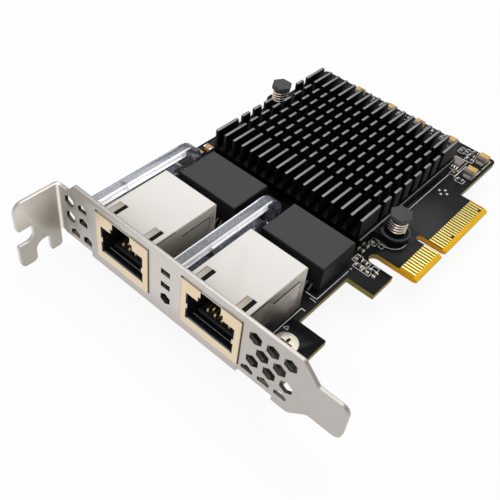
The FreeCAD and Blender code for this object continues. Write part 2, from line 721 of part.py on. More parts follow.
def make_bracket():
    body = new_body("bracket")
    tab_under = BOARD_BOTTOM - S.sheet
    plate_low = BOARD_BOTTOM + S.bend_inside
    upper_end = S.tab_upper_centre + S.tab_width / 2 + S.tab_relief
    lower_start = S.tab_lower_centre - S.tab_width / 2 - S.tab_relief
    lower_end = S.tab_lower_centre + S.tab_width / 2 + S.tab_relief
    plate = [
        (BEND_X, plate_low),
        (upper_end, plate_low),
        (upper_end, S.bracket_bottom),
        (lower_start, S.bracket_bottom),
        (lower_start, plate_low),
        (lower_end, plate_low),
        (lower_end, S.bracket_bottom),
        (S.taper_low_start, S.bracket_bottom, 2.0),
        (S.taper_low_end, S.tongue_low, 2.0),
        (S.tongue_end, S.tongue_low, S.tongue_corner),
        (S.tongue_end, S.tongue_high, S.tongue_corner),
        (S.taper_top_end, S.tongue_high, 1.0),
        (S.taper_top_start, S.bracket_top, 1.0),
        (S.shoulder_end, S.bracket_top, 0.6),
        (S.shoulder_start, S.flange_top, 0.8),
        (BEND_X, S.flange_top),
    ]
    extrude(body, "plate", "XZ_Plane", 0, S.sheet, [plate])
    corner = bend(BEND_X, -S.bend_inside, S.bend_inside, (-1, 1))
    height = S.flange_top - plate_low
    extrude_bend(body, "flange_bend", "XY_Plane", plate_low, height, corner)
    slot_high = S.screw_slot_low + S.screw_slot_height
    slot_round = S.screw_slot_height / 2 - 0.1
    inner_ear = -S.bend_inside - S.inner_ear_width
    flange = [
        (-S.bend_inside, S.flange_top),
        (-S.flange_reach, S.flange_top, 2.6),
        (-S.flange_reach, slot_high, 0.8),
        (-S.screw_slot_end, slot_high, 0.5),
        (-S.screw_slot_end, S.screw_slot_low, slot_round),
        (-S.ear_reach, S.screw_slot_low, 0.5),
        (-S.ear_reach, S.ear_bottom, 1.5),
        (-S.notch_outer, S.ear_bottom, 1.3),
        (-S.notch_outer, S.notch_top, 2.4),
        (inner_ear, S.notch_top, 0.7),
        (inner_ear, S.inner_ear_bottom, 0.6),
        (-S.bend_inside, S.inner_ear_bottom, 1.2),
    ]
    extrude(body, "flange", "YZ_Plane", FLANGE_BACK, S.sheet, [flange])
    for name, centre in (("upper", S.tab_upper_centre), ("lower", S.tab_lower_centre)):
        start = centre - S.tab_width / 2
        fold = bend(S.bend_inside + S.sheet, plate_low, S.bend_inside, (-1, -1))
        extrude_bend(body, name + "_tab_bend", "YZ_Plane", start, S.tab_width, fold)
        flat = rect(start, S.bend_inside + S.sheet, start + S.tab_width, S.tab_end)
        extrude(body, name + "_tab", "XY_Plane", tab_under, S.sheet, [flat])
    hole = S.screw_radius + S.screw_clearance
    holes = [
        (S.tab_upper_centre, S.screw_from_face, hole),
        (S.tab_lower_centre, S.screw_from_face, hole),
    ]
    cut(body, "tab_holes", "XY_Plane", tab_under - 1, S.sheet + 2, holes)
    cut(body, "openings", "XZ_Plane", -1, S.sheet + 2, port_openings() + vents())


def port_openings():
    outlines = []
    half = S.jack_width / 2 + S.port_clearance
    low = -S.face_drop - S.port_clearance / 3
    high = S.jack_height + S.face_rise + S.port_clearance
    for centre in (S.jack_upper_centre, S.jack_lower_centre):
        outlines.append(rect(centre - half, low, centre + half, high))
    return outlines


def vents():
    outlines = []
    for row, count, shift in ((0, 3, 0), (1, 2, 0.5), (2, 3, 0)):
        for column in range(count):
            x = S.vent_start + S.vent_pitch * (column + shift)
            outlines.append(hexagon(x, S.vent_top_row - S.vent_row * row, S.vent_flats))
    for column in range(3):
        x = S.vent_low_start + S.vent_pitch * column
        outlines.append(cut_hexagon(x, S.vent_low_crest, S.vent_flats, S.vent_low_cut))
    outlines.append(hexagon(S.small_vent_x, S.small_vent_high, S.small_vent_flats))
    outlines.append(hexagon(S.small_vent_x, S.small_vent_low, S.small_vent_flats))
    crest = S.vent_low_crest
    last = cut_hexagon(S.small_vent_last, crest, S.small_vent_flats, S.vent_low_cut - 0.15)
    outlines.append(last)
    x = S.pipe_upper_centre
    for top in (S.pipe_top + 0.1, S.pipe_low_top + 0.05):
        outlines.append(cut_hexagon(x, top, S.window_width, top - S.window_height))
    last = cut_hexagon(x + 1.1, crest + 0.4, S.window_width, S.vent_low_cut)
    outlines.append(last)
    x = S.pipe_lower_centre
    width = S.window_width - 0.1
    for top in (S.pipe_top, S.pipe_low_top):
        outlines.append(rect_at(x, top - S.middle_window_height / 2, width, S.middle_window_height))
    outlines.append(hexagon(x, 2.3, S.window_width))
    return outlines


def make_bracket_screws():
    body = new_body("bracket_screws")
    head = S.screw_head_height
    outline = [
        (0, -S.screw_length),
        (S.screw_radius, -S.screw_length),
        (S.screw_radius, 0),
        (S.screw_head_radius, 0),
        (S.screw_head_radius, head),
        (0, head),
    ]
    places = (S.tab_upper_centre, S.tab_lower_centre)
    for number, x in enumerate(places, start=1):
        turn(body, "screw_%d" % number, x, S.screw_from_face, outline)
    half = S.recess_length / 2
    thin = S.recess_width / 2
    crosses = []
    for x in places:
        y = S.screw_from_face
        crosses.append([
            (x - half, y - thin), (x - thin, y - thin), (x - thin, y - half),
            (x + thin, y - half), (x + thin, y - thin), (x + half, y - thin),
            (x + half, y + thin), (x + thin, y + thin), (x + thin, y + half),
            (x - thin, y + half), (x - thin, y + thin), (x - half, y + thin),
        ])
    cut(body, "recess", "XY_Plane", head - S.recess_depth, S.recess_depth + 1, crosses)


# Jacks

def make_front_shield(name, centre):
    body = new_body(name + "_front_shield")
    half = S.jack_width / 2
    low = -S.face_drop
    high = S.jack_height + S.face_rise
    wide = S.aperture_width / 2
    inset = wide - S.finger_inset
    step = S.latch_step_width / 2
    latch = S.latch_width / 2
    inner = [
        (wide, S.aperture_low), (wide, S.finger_low), (inset, S.finger_low),
        (inset, S.finger_high), (wide, S.finger_high), (wide, S.aperture_high),
        (step, S.aperture_high), (step, S.latch_step_high), (latch, S.latch_step_high),
        (latch, high),
    ]
    right = [(centre + u, v) for u, v in inner]
    left = [(centre - u, v) for u, v in inner]
    outline = right + [(centre + half, high), (centre + half, low)]
    outline += [(centre - half, low), (centre - half, high)]
    outline += list(reversed(left))
    extrude(body, "face", "XZ_Plane", -S.jack_proud, S.flap_sheet, [outline])
    lip = rect(centre - inset, S.aperture_low, centre + inset, S.aperture_low + S.flap_sheet)
    extrude(body, "lip", "XZ_Plane", -S.jack_proud, S.flap_sheet + S.lip_depth, [lip])
    flap = [
        (-S.jack_proud, 0),
        (S.flap_end, 0),
        (S.flap_end, S.flap_step),
        (S.flap_step - 0.6, S.flap_step),
        (S.flap_step - 2.6, S.jack_height - 0.2),
        (-S.jack_proud, S.jack_height - 0.2),
    ]
    for side, x in (("left", centre - half), ("right", centre + half - S.flap_sheet)):
        extrude(body, side + "_flap", "YZ_Plane", x, S.flap_sheet, [flap])


def make_top_shield(name, centre):
    body = new_body(name + "_top_shield")
    inside = CAN_HALF - S.can_sheet
    ceiling = S.jack_height - S.can_sheet
    wall = [
        (centre + inside, ceiling), (centre + inside, 0),
        (centre + CAN_HALF, 0), (centre + CAN_HALF, S.jack_height, 0.35),
        (centre - CAN_HALF, S.jack_height, 0.35), (centre - CAN_HALF, 0),
        (centre - inside, 0), (centre - inside, ceiling),
    ]
    depth = S.jack_end - S.can_sheet - JACK_BACK_OF_FACE
    extrude(body, "cover", "XZ_Plane", JACK_BACK_OF_FACE, depth, [wall])
    back = rect(centre - CAN_HALF, 0, centre + CAN_HALF, S.jack_height - 0.35)
    extrude(body, "back", "XZ_Plane", S.jack_end - S.can_sheet, S.can_sheet, [back])
    slots = []
    strips = []
    for side in (-1, 1):
        x = centre + S.slot_offset + side * S.slot_spread / 2
        low = x - S.slot_width / 2
        end = S.slot_from_face + S.slot_length
        slots.append(rect(low, S.slot_from_face, low + S.slot_width, end))
        strips.append(rect(low - S.strip_width, 1, low, end - 0.3))
    cut(body, "slots", "XY_Plane", ceiling - 0.1, S.can_sheet + 1, slots)
    cut(body, "strips", "XY_Plane", S.jack_height - S.strip_depth, 1, strips)
    notches = [rect(18.8, 6.1, 19.2, 10.4), rect(19.8, 7.3, 20.1, 10.0)]
    cut(body, "side_notches", "YZ_Plane", centre - CAN_HALF - 1, 2 * CAN_HALF + 2, notches)


def make_housing(name, centre):
    body = new_body(name + "_housing")
    half = CAN_HALF - S.can_sheet - S.housing_gap
    top = S.jack_height - S.can_sheet - S.housing_gap
    block = rect(centre - half, 0, centre + half, top)
    depth = S.housing_end - JACK_BACK_OF_FACE
    extrude(body, "block", "XZ_Plane", JACK_BACK_OF_FACE, depth, [block])
    wide = S.aperture_width / 2 - S.finger_inset
    mouth = rect(centre - wide, S.aperture_low, centre + wide, S.aperture_high)
    start = JACK_BACK_OF_FACE - 1
    cut(body, "mouth", "XZ_Plane", start, S.lip_depth + 1.1, [mouth])
    room = S.cavity_width / 2
    way = S.channel_width / 2
    cavity = [
        (centre - room, S.cavity_low), (centre + room, S.cavity_low),
        (centre + room, S.cavity_high), (centre + way, S.cavity_high),
        (centre + way, S.latch_step_high), (centre + S.latch_width / 2, S.latch_step_high),
        (centre + S.latch_width / 2, S.channel_high), (centre - S.latch_width / 2, S.channel_high),
        (centre - S.latch_width / 2, S.latch_step_high), (centre - way, S.latch_step_high),
        (centre - way, S.cavity_high), (centre - room, S.cavity_high),
    ]
    cut(body, "cavity", "XZ_Plane", start, S.cavity_depth + 1, [cavity])
    slot = rect(centre - S.latch_width / 2, S.channel_high - 0.2,
                centre + S.latch_width / 2, S.jack_height)
    cut(body, "latch_mouth", "XZ_Plane", start, S.lip_depth + 1.1, [slot])


def insert_top():
    return S.cavity_low + S.insert_floor


def insert_back():
    return JACK_BACK_OF_FACE + S.cavity_depth


def make_insert(name, centre):
    body = new_body(name + "_insert")
    block = insert_back() - S.insert_block
    outline = [
        (S.insert_front, S.cavity_low),
        (insert_back(), S.cavity_low),
        (insert_back(), insert_top() + S.insert_height),
        (block, insert_top() + S.insert_height),
        (block, insert_top()),
        (S.insert_front, insert_top(), 0.3),
    ]
    start = centre - S.insert_width / 2
    extrude(body, "carrier", "YZ_Plane", start, S.insert_width, [outline])


def make_spring_contacts(name, centre):
    """Eight strips that lie on the insert, turn back and rise into the cavity."""
    body = new_body(name + "_contacts")
    low = insert_top()
    thick = S.spring_thickness
    back = insert_back() - S.insert_block
    front = S.insert_front + 0.6
    outline = [
        (back, low),
        (front + 0.35, low),
        (front, low + 0.35),
        (front, low + 0.8),
        (front + 5.8, low + 4.1),
        (front + 7.2, low + 3.7),
        (front + 7.1, low + 3.7 - thick),
        (front + 5.85, low + 4.05 - thick),
        (front + thick, low + 0.8 - 0.58 * thick),
        (front + thick + 0.15, low + thick),
        (back, low + thick),
    ]
    for number in range(8):
        x = centre + (number - 3.5) * S.spring_pitch - S.spring_width / 2
        label = "strip_%d" % (number + 1)
        extrude(body, label, "YZ_Plane", x, S.spring_width, [outline])


def make_solder_joints():
    """Square joints under the board, one at each contact and shield post."""
    body = new_body("jack_solder_joints")
    places = []
    for centre in (S.jack_upper_centre, S.jack_lower_centre):
        for column in range(8):
            y = S.joint_row + S.joint_step * (column % 2)
            places.append((centre + (column - 3.5) * S.spring_pitch, y))
        for side in (-1, 1):
            places.append((centre + side * (CAN_HALF - 0.2), S.post_row))
    joints = [rect_at(x, y, S.joint_width, S.joint_width) for x, y in places]
    low = BOARD_BOTTOM - S.joint_height
    extrude(body, "joints", "XY_Plane", low, S.joint_height, joints)


# Light pipes and lamps

def make_light_pipe(name, centre):
    body = new_body(name)
    arm = S.pipe_arm
    foot = S.pipe_foot
    leg = S.pipe_rear - S.pipe_leg
    low_leg = S.pipe_low_rear - S.pipe_leg
    upper_low = S.pipe_top - arm
    lower_low = S.pipe_low_top - arm
    outline = [
        (S.pipe_front, S.pipe_top),
        (S.pipe_front, upper_low),
        (S.pipe_web_start, upper_low),
        (S.pipe_web_start, S.pipe_low_top),
        (S.pipe_front, S.pipe_low_top),
        (S.pipe_front, lower_low),
        (low_leg, lower_low, S.pipe_low_bend - S.pipe_leg),
        (low_leg, foot),
        (S.pipe_low_rear, foot),
        (S.pipe_low_rear, S.pipe_low_top, S.pipe_low_bend),
        (S.pipe_web_end, S.pipe_low_top),
        (S.pipe_web_end, upper_low),
        (leg, upper_low, S.pipe_bend - S.pipe_leg),
        (leg, foot),
        (S.pipe_rear, foot),
        (S.pipe_rear, S.pipe_top, S.pipe_bend),
    ]
    start = centre - S.pipe_width / 2
    extrude(body, "arms", "YZ_Plane", start, S.pipe_width, [outline])
    pegs = [rect_at(centre, y, S.peg_width, S.peg_width) for y in (S.peg_front, S.peg_rear)]
    extrude(body, "pegs", "XY_Plane", 0, lower_low, pegs)


def make_lamps():
    body = new_body("status_lamps")
    outlines = []
    for x in (S.pipe_upper_centre, S.pipe_lower_centre):
        for rear in (S.pipe_rear, S.pipe_low_rear):
            y = rear - S.pipe_leg / 2
            outlines.append(rect_at(x, y, S.lamp_width, S.lamp_length))
    extrude(body, "lamps", "XY_Plane", 0, S.lamp_height, outlines)


# Magnetics

def make_magnetics(name, x):
    body = new_body(name)
    height = S.magnetics_top - S.magnetics_standoff
    end = x + S.magnetics_length
    block = rect(x, S.magnetics_front, end, S.magnetics_front + S.magnetics_width)
    pad = extrude(body, "block", "XY_Plane", S.magnetics_standoff, height, [block])
    bevel_top(body, "top_bevel", pad, S.magnetics_top, S.magnetics_bevel)


def gull_wing(side, edge, reach, thick, height):
    """Profile of one lead that slopes down from the body to the board."""
    end = edge + side * reach
    return [(edge, height), (end, thick), (end, 0), (edge, height - thick)]


def make_magnetics_leads(name, x):
    body = new_body(name)
    outlines = []
    for side, edge in ((-1, S.magnetics_front), (1, S.magnetics_front + S.magnetics_width)):
        outlines.append(gull_wing(side, edge, S.lead_reach, S.lead_thickness, S.lead_height))
    middle = x + S.magnetics_length / 2
    for number in range(12):
        start = middle + (number - 5.5) * S.lead_pitch - S.lead_width / 2
        label = "lead_pair_%d" % (number + 1)
        extrude(body, label, "YZ_Plane", start, S.lead_width, outlines)


# Heatsink, controller and thermal pad

def make_heatsink():
    body = new_body("heatsink")
    base = rect(S.sink_left, S.sink_front, S.sink_right, S.sink_rear)
    extrude(body, "base", "XY_Plane", S.sink_bottom, S.sink_base, [base])
    for name, x, y, edge, side in (
        ("near", S.pin_near_x, S.pin_near_y, S.sink_right, -1),
        ("far", S.pin_far_x, S.pin_far_y, S.sink_left, 1),
    ):
        disc = [(x, y, S.ear_radius)]
        extrude(body, name + "_ear", "XY_Plane", S.sink_bottom, S.sink_base, disc)
        tip = x + side * S.ear_radius * 0.25
        root = edge + side
        web = [
            (tip, y - S.ear_radius * 0.96),
            (root, y - S.ear_root),
            (root, y + S.ear_root),
            (tip, y + S.ear_radius * 0.96),
        ]
        if side < 0:
            web.reverse()
        extrude(body, name + "_web", "XY_Plane", S.sink_bottom, S.sink_base, [web])
    fins = []
    for number in range(17):
        low = S.fin_start + number * S.fin_pitch - S.fin_thickness / 2
        fins.append(rect(low, S.sink_front, low + S.fin_thickness, S.sink_rear))
    height = S.fin_top - SINK_BASE_TOP
    extrude(body, "fins", "XY_Plane", SINK_BASE_TOP, height, fins)
    channels = []
    for number in range(7):
        low = S.channel_start + number * S.channel_pitch
        channels.append(rect(S.sink_left - 1, low, S.sink_right + 1, low + S.channel_gap))
    cut(body, "channels", "XY_Plane", SINK_BASE_TOP, height + 1, channels)
    low = S.channel_start + 3 * S.channel_pitch
    high = low + 2 * S.channel_pitch + S.channel_gap
    room = [rect(S.sink_left - 1, low, S.fin_start + S.fin_pitch / 2, high)]
    cut(body, "pin_room", "XY_Plane", SINK_BASE_TOP, height + 1, room)
    hole = S.pin_radius + S.pin_clearance
    holes = [(S.pin_near_x, S.pin_near_y, hole), (S.pin_far_x, S.pin_far_y, hole)]
    cut(body, "pin_holes", "XY_Plane", S.sink_bottom - 1, S.sink_base + 2, holes)


def make_controller():
    body = new_body("controller_chip")
    square = rect_at(S.chip_centre_x, S.chip_centre_y, S.chip_size, S.chip_size)
    extrude(body, "package", "XY_Plane", 0, S.chip_height, [square])
    body = new_body("thermal_pad")
    square = rect_at(S.chip_centre_x, S.chip_centre_y, S.pad_size, S.pad_size)
    extrude(body, "pad", "XY_Plane", S.chip_height, S.sink_bottom - S.chip_height, [square])


# Push pins

def make_pin(name, x, y):
    body = new_body(name)
    barb_top = BOARD_BOTTOM - S.barb_gap
    shank = [(x, y, S.pin_radius)]
    extrude(body, "shank", "XY_Plane", barb_top - S.barb_height, HEAD_BOTTOM - barb_top + S.barb_height, shank)
    tip = [hexagon_along(x, y, S.pin_radius * 1.4)]
    extrude(body, "tip", "XY_Plane", S.pin_bottom, barb_top - S.pin_bottom, tip)
    barbs = [hexagon_along(x, y, 2 * S.barb_radius)]
    extrude(body, "barbs", "XY_Plane", barb_top - S.barb_height, S.barb_height, barbs)
    head = [hexagon_along(x, y, S.pin_flats)]
    feature = extrude(body, "head", "XY_Plane", HEAD_BOTTOM, S.pin_head_height, head)
    bevel_top(body, "head_bevel", feature, S.pin_top, as_size(0.15))
    split = [rect_at(x, y, S.pin_split, 2 * S.barb_radius + 1)]
    cut(body, "split", "XY_Plane", S.pin_bottom - 1, 0.8 - S.pin_bottom, split)


def make_pin_spring(name, x, y):
    body = new_body(name)
    item = new_sketch(body, "wire_outline", "XZ_Plane", y, x)
    start = SINK_BASE_TOP + S.wire_radius + 0.02
    wire = 2 * S.wire_radius
    draw(item, [rect_at(S.spring_radius, start, wire, wire)])
    coil = body.newObject("PartDesign::AdditiveHelix", "coil")
    coil.Profile = item
    coil.ReferenceAxis = (item, ["V_Axis"])
    coil.Mode = "pitch-height-angle"
    coil.setExpression("Pitch", S.coil_pitch.text)
    travel = HEAD_BOTTOM - SINK_BASE_TOP - 2 * S.wire_radius - 0.04
    coil.setExpression("Height", travel.text)


# Chip parts

def chip_parts(name, kind, places, top):
    """Bodies and wrapped end terminals; places give centre and direction."""
    length = getattr(S, kind + "_length")
    width = getattr(S, kind + "_width")
    height = getattr(S, kind + "_height")
    end = getattr(S, kind + "_end")
    cores = []
    caps = []
    for x, y, along in places:
        core = length - 2 * end
        if along == "x":
            cores.append(rect_at(as_size(x), as_size(y), core, width))
        else:
            cores.append(rect_at(as_size(x), as_size(y), width, core))
        for side in (-1, 1):
            shift = side * (core + end) / 2
            wide = width + 2 * S.end_wrap
            if along == "x":
                caps.append(rect_at(x + shift, as_size(y), end, wide))
            else:
                caps.append(rect_at(as_size(x), y + shift, wide, end))
    low = as_size(0) if top else BOARD_BOTTOM - height
    body = new_body(name)
    extrude(body, "cores", "XY_Plane", low, height, cores)
    body = new_body(name + "_terminals")
    low = as_size(0) if top else BOARD_BOTTOM - height - S.end_wrap
    extrude(body, "ends", "XY_Plane", low, height + S.end_wrap, caps)


LARGE_CAPACITORS = ((14.9, 99.6), (26.4, 99.6), (36.4, 99.6), (47.5, 99.6), (57.8, 99.6), (58.2, 91.6))
TAN_CAPACITORS = ((2.5, 42.3, "x"), (2.95, 45.8, "x"))
HOOK_PARTS = (
    (54.5, 50.2, "y"), (53.9, 47.4, "x"), (54.0, 45.3, "x"), (54.9, 42.6, "y"),
    (57.0, 42.5, "x"), (56.6, 40.6, "x"), (59.2, 40.9, "y"), (61.0, 40.9, "y"),
)
CORNER_PARTS = (
    (51.3, 99.9, "y"), (52.9, 100.4, "y"), (54.9, 101.4, "x"), (54.7, 99.3, "x"),
    (54.9, 97.5, "x"), (54.7, 89.4, "y"), (57.6, 87.4, "x"),
)
REAR_PARTS = (
    (18.2, 101.2, "y"), (20.3, 101.0, "x"), (23.2, 101.3, "y"), (29.2, 101.3, "y"),
    (31.6, 100.9, "x"), (39.2, 101.2, "y"), (41.4, 100.8, "x"), (44.4, 100.9, "y"),
)
DECOUPLING_PARTS = (
    (22.0, 62.0, "x"), (26.0, 62.0, "x"), (30.0, 62.0, "x"),
    (22.0, 71.0, "x"), (26.0, 71.0, "x"), (30.0, 71.0, "x"),
)


def make_large_capacitors():
    """Moulded blocks that stand on strips folded up their two ends."""
    half = S.large_length / 2
    sheet = S.foot_sheet
    blocks = []
    for x, y in LARGE_CAPACITORS:
        blocks.append(rect_at(as_size(x), as_size(y), S.large_width, 2 * (half - sheet)))
    body = new_body("large_capacitors")
    extrude(body, "blocks", "XY_Plane", sheet, S.large_height - sheet, blocks)
    body = new_body("large_capacitors_terminals")
    for number, (x, y) in enumerate(LARGE_CAPACITORS, start=1):
        feet = []
        for side in (-1, 1):
            outer = y + side * half
            inner = outer - side * sheet
            tip = outer - side * S.foot_length
            feet.append([
                (tip, 0), (outer, 0), (outer, S.foot_height),
                (inner, S.foot_height), (inner, sheet), (tip, sheet),
            ])
        start = x - S.foot_width / 2
        extrude(body, "feet_%d" % number, "YZ_Plane", start, S.foot_width, feet)


def make_leaded_chip(name, kind, per_side, side_up):
    """A moulded chip with bent leads on its two long sides."""
    x = getattr(S, kind + "_x")
    y = getattr(S, kind + "_y")
    length = getattr(S, kind + "_length")
    width = getattr(S, kind + "_width")
    height = getattr(S, kind + "_height")
    pitch = getattr(S, kind + "_pitch")
    body = new_body(name)
    block = [rect_at(x, y, length, width)]
    if side_up:
        low = S.chip_standoff
    else:
        low = BOARD_BOTTOM - height
    extrude(body, "moulding", "XY_Plane", low, height - S.chip_standoff, block)
    body = new_body(name + "_leads")
    thick = S.chip_lead_thickness
    rows = []
    for side, edge in ((-1, y - width / 2), (1, y + width / 2)):
        rows.append(gull_wing(side, edge, S.chip_lead_reach, thick, height / 2))
    if not side_up:
        rows = [[(v, BOARD_BOTTOM - w) for v, w in reversed(row)] for row in rows]
    for number in range(per_side):
        middle = x + (number - (per_side - 1) / 2) * pitch
        start = middle - S.chip_lead_width / 2
        label = "lead_pair_%d" % (number + 1)
        extrude(body, label, "YZ_Plane", start, S.chip_lead_width, rows)


def make_crystal():
    body = new_body("crystal")
    can = [rect_at(S.crystal_x, S.crystal_y, S.crystal_length, S.crystal_width)]
    low = BOARD_BOTTOM - S.crystal_height
    extrude(body, "can", "XY_Plane", low, S.crystal_height, can)


make_board()
make_edge_contacts()
make_bracket()
make_bracket_screws()
for name, centre in (("jack_1", S.jack_upper_centre), ("jack_2", S.jack_lower_centre)):
    make_front_shield(name, centre)
    make_top_shield(name, centre)
    make_housing(name, centre)
    make_insert(name, centre)
    make_spring_contacts(name, centre)
make_solder_joints()
make_light_pipe("light_pipe_1", S.pipe_upper_centre)
make_light_pipe("light_pipe_2", S.pipe_lower_centre)
make_lamps()
make_magnetics("magnetics_1", S.magnetics_upper_x)
make_magnetics("magnetics_2", S.magnetics_lower_x)
make_magnetics_leads("magnetics_1_leads", S.magnetics_upper_x)
make_magnetics_leads("magnetics_2_leads", S.magnetics_lower_x)
make_heatsink()
make_controller()
make_pin("push_pin_near", S.pin_near_x, S.pin_near_y)
make_pin("push_pin_far", S.pin_far_x, S.pin_far_y)
make_pin_spring("pin_spring_near", S.pin_near_x, S.pin_near_y)
make_pin_spring("pin_spring_far", S.pin_far_x, S.pin_far_y)
make_large_capacitors()
chip_parts("tan_capacitors", "tan", TAN_CAPACITORS, True)
chip_parts("hook_chip_parts", "small", HOOK_PARTS, True)
chip_parts("corner_chip_parts", "small", CORNER_PARTS, True)
chip_parts("rear_chip_parts", "small", REAR_PARTS, True)
chip_parts("decoupling_capacitors", "tiny", DECOUPLING_PARTS, False)
make_leaded_chip("regulator", "regulator", 4, True)
make_leaded_chip("flash_chip", "flash", 4, False)
make_crystal()

doc.recompute()
for item in doc.Objects:
    if "Invalid" in item.State or "Error" in item.State:
        raise RuntimeError("not computed: " + item.Name)
os.makedirs("parts", exist_ok=True)
for body in BODIES:
    if body.Shape.isNull() or not body.Shape.isValid():
        raise RuntimeError("bad shape: " + body.Label)
    body.Shape.exportStep("parts/" + body.Label + ".step")
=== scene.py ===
import json
import math

import bmesh
import bpy
from mathutils import Matrix, Vector


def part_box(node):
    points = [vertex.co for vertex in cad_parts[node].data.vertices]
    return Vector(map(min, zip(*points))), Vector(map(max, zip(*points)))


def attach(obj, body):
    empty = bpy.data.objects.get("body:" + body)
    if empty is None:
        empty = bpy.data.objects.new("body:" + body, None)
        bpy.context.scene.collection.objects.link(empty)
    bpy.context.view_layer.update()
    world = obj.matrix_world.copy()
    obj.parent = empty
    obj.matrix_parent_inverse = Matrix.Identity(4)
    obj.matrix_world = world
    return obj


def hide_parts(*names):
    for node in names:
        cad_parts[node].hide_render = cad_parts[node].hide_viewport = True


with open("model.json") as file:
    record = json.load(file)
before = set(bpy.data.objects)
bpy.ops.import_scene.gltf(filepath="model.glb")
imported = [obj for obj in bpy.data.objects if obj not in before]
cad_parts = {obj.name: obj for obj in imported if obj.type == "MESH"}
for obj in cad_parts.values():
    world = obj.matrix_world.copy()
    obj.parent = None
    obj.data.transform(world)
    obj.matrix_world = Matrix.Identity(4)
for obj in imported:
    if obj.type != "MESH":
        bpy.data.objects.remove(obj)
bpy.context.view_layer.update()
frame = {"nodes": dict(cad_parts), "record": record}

# Card frame in millimetres: x from the board's upper edge, y from the bracket's
# front face, z above the board's component side. SHIFT takes it to the row frame.
SHIFT = Vector((-39.25, -45.55, 6.7))
MM = 1000


def place(x, y, z):
    return (Vector((x, y, z)) + SHIFT) / MM


def card_box(node):
    """Lowest and highest corner of a CAD node, in card millimetres."""
    low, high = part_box(node)
    return low * MM - SHIFT, high * MM - SHIFT


def middle_of(node):
    low, high = card_box(node)
    return (low + high) / 2


# Places taken from the CAD nodes
CONTACTS_LOW, CONTACTS_HIGH = card_box("edge_contacts_top")
PIPE_LOW, PIPE_HIGH = card_box("light_pipe_1")
PIPE_CENTRES = (middle_of("light_pipe_1").x, middle_of("light_pipe_2").x)
PIPE_HALF_WIDTH = (PIPE_HIGH.x - PIPE_LOW.x) / 2
JACK_CENTRES = (middle_of("jack_1_housing").x, middle_of("jack_2_housing").x)
BETWEEN_JACKS = sum(JACK_CENTRES) / 2
JACK_SPACING = JACK_CENTRES[1] - JACK_CENTRES[0]
JACK_TOP = card_box("jack_1_top_shield")[1].z
MODULE_TOP = card_box("magnetics_1")[1].z
FIN_TOP = card_box("heatsink")[1].z
NEAR_PIN = middle_of("push_pin_near")

# Places inside a node, as in the part's source
SHEET = 0.9
FLANGE_FACE = -1.0
CONNECTOR_START = 47.25
CONNECTOR_END = 82.45
CONTACT_WIDTH = 0.7
SPRING_PITCH = 1.02
SLOT_SPREAD = 11.0
SLOT_SHIFT = 0.65
STRIP_WIDTH = 1.3
SINK_FRONT = 44.85
SINK_REAR = 90.7
BASE_TOP = 3.4
BASE_EDGE = 53.3
EAR_RADIUS = 3.7
FIRST_FIN = 6.35
FIN_PITCH = 2.86
PIPE_BEND = 6.0

SOLDER_MASK = (0.0062, 0.0066, 0.0076)

# Most of a noise texture lies between these
NOISE_LOW, NOISE_HIGH = 0.3, 0.7

X, Y, Z = range(3)
BLACK = (0.0, 0.0, 0.0)
WHITE = (1.0, 1.0, 1.0)


# Materials

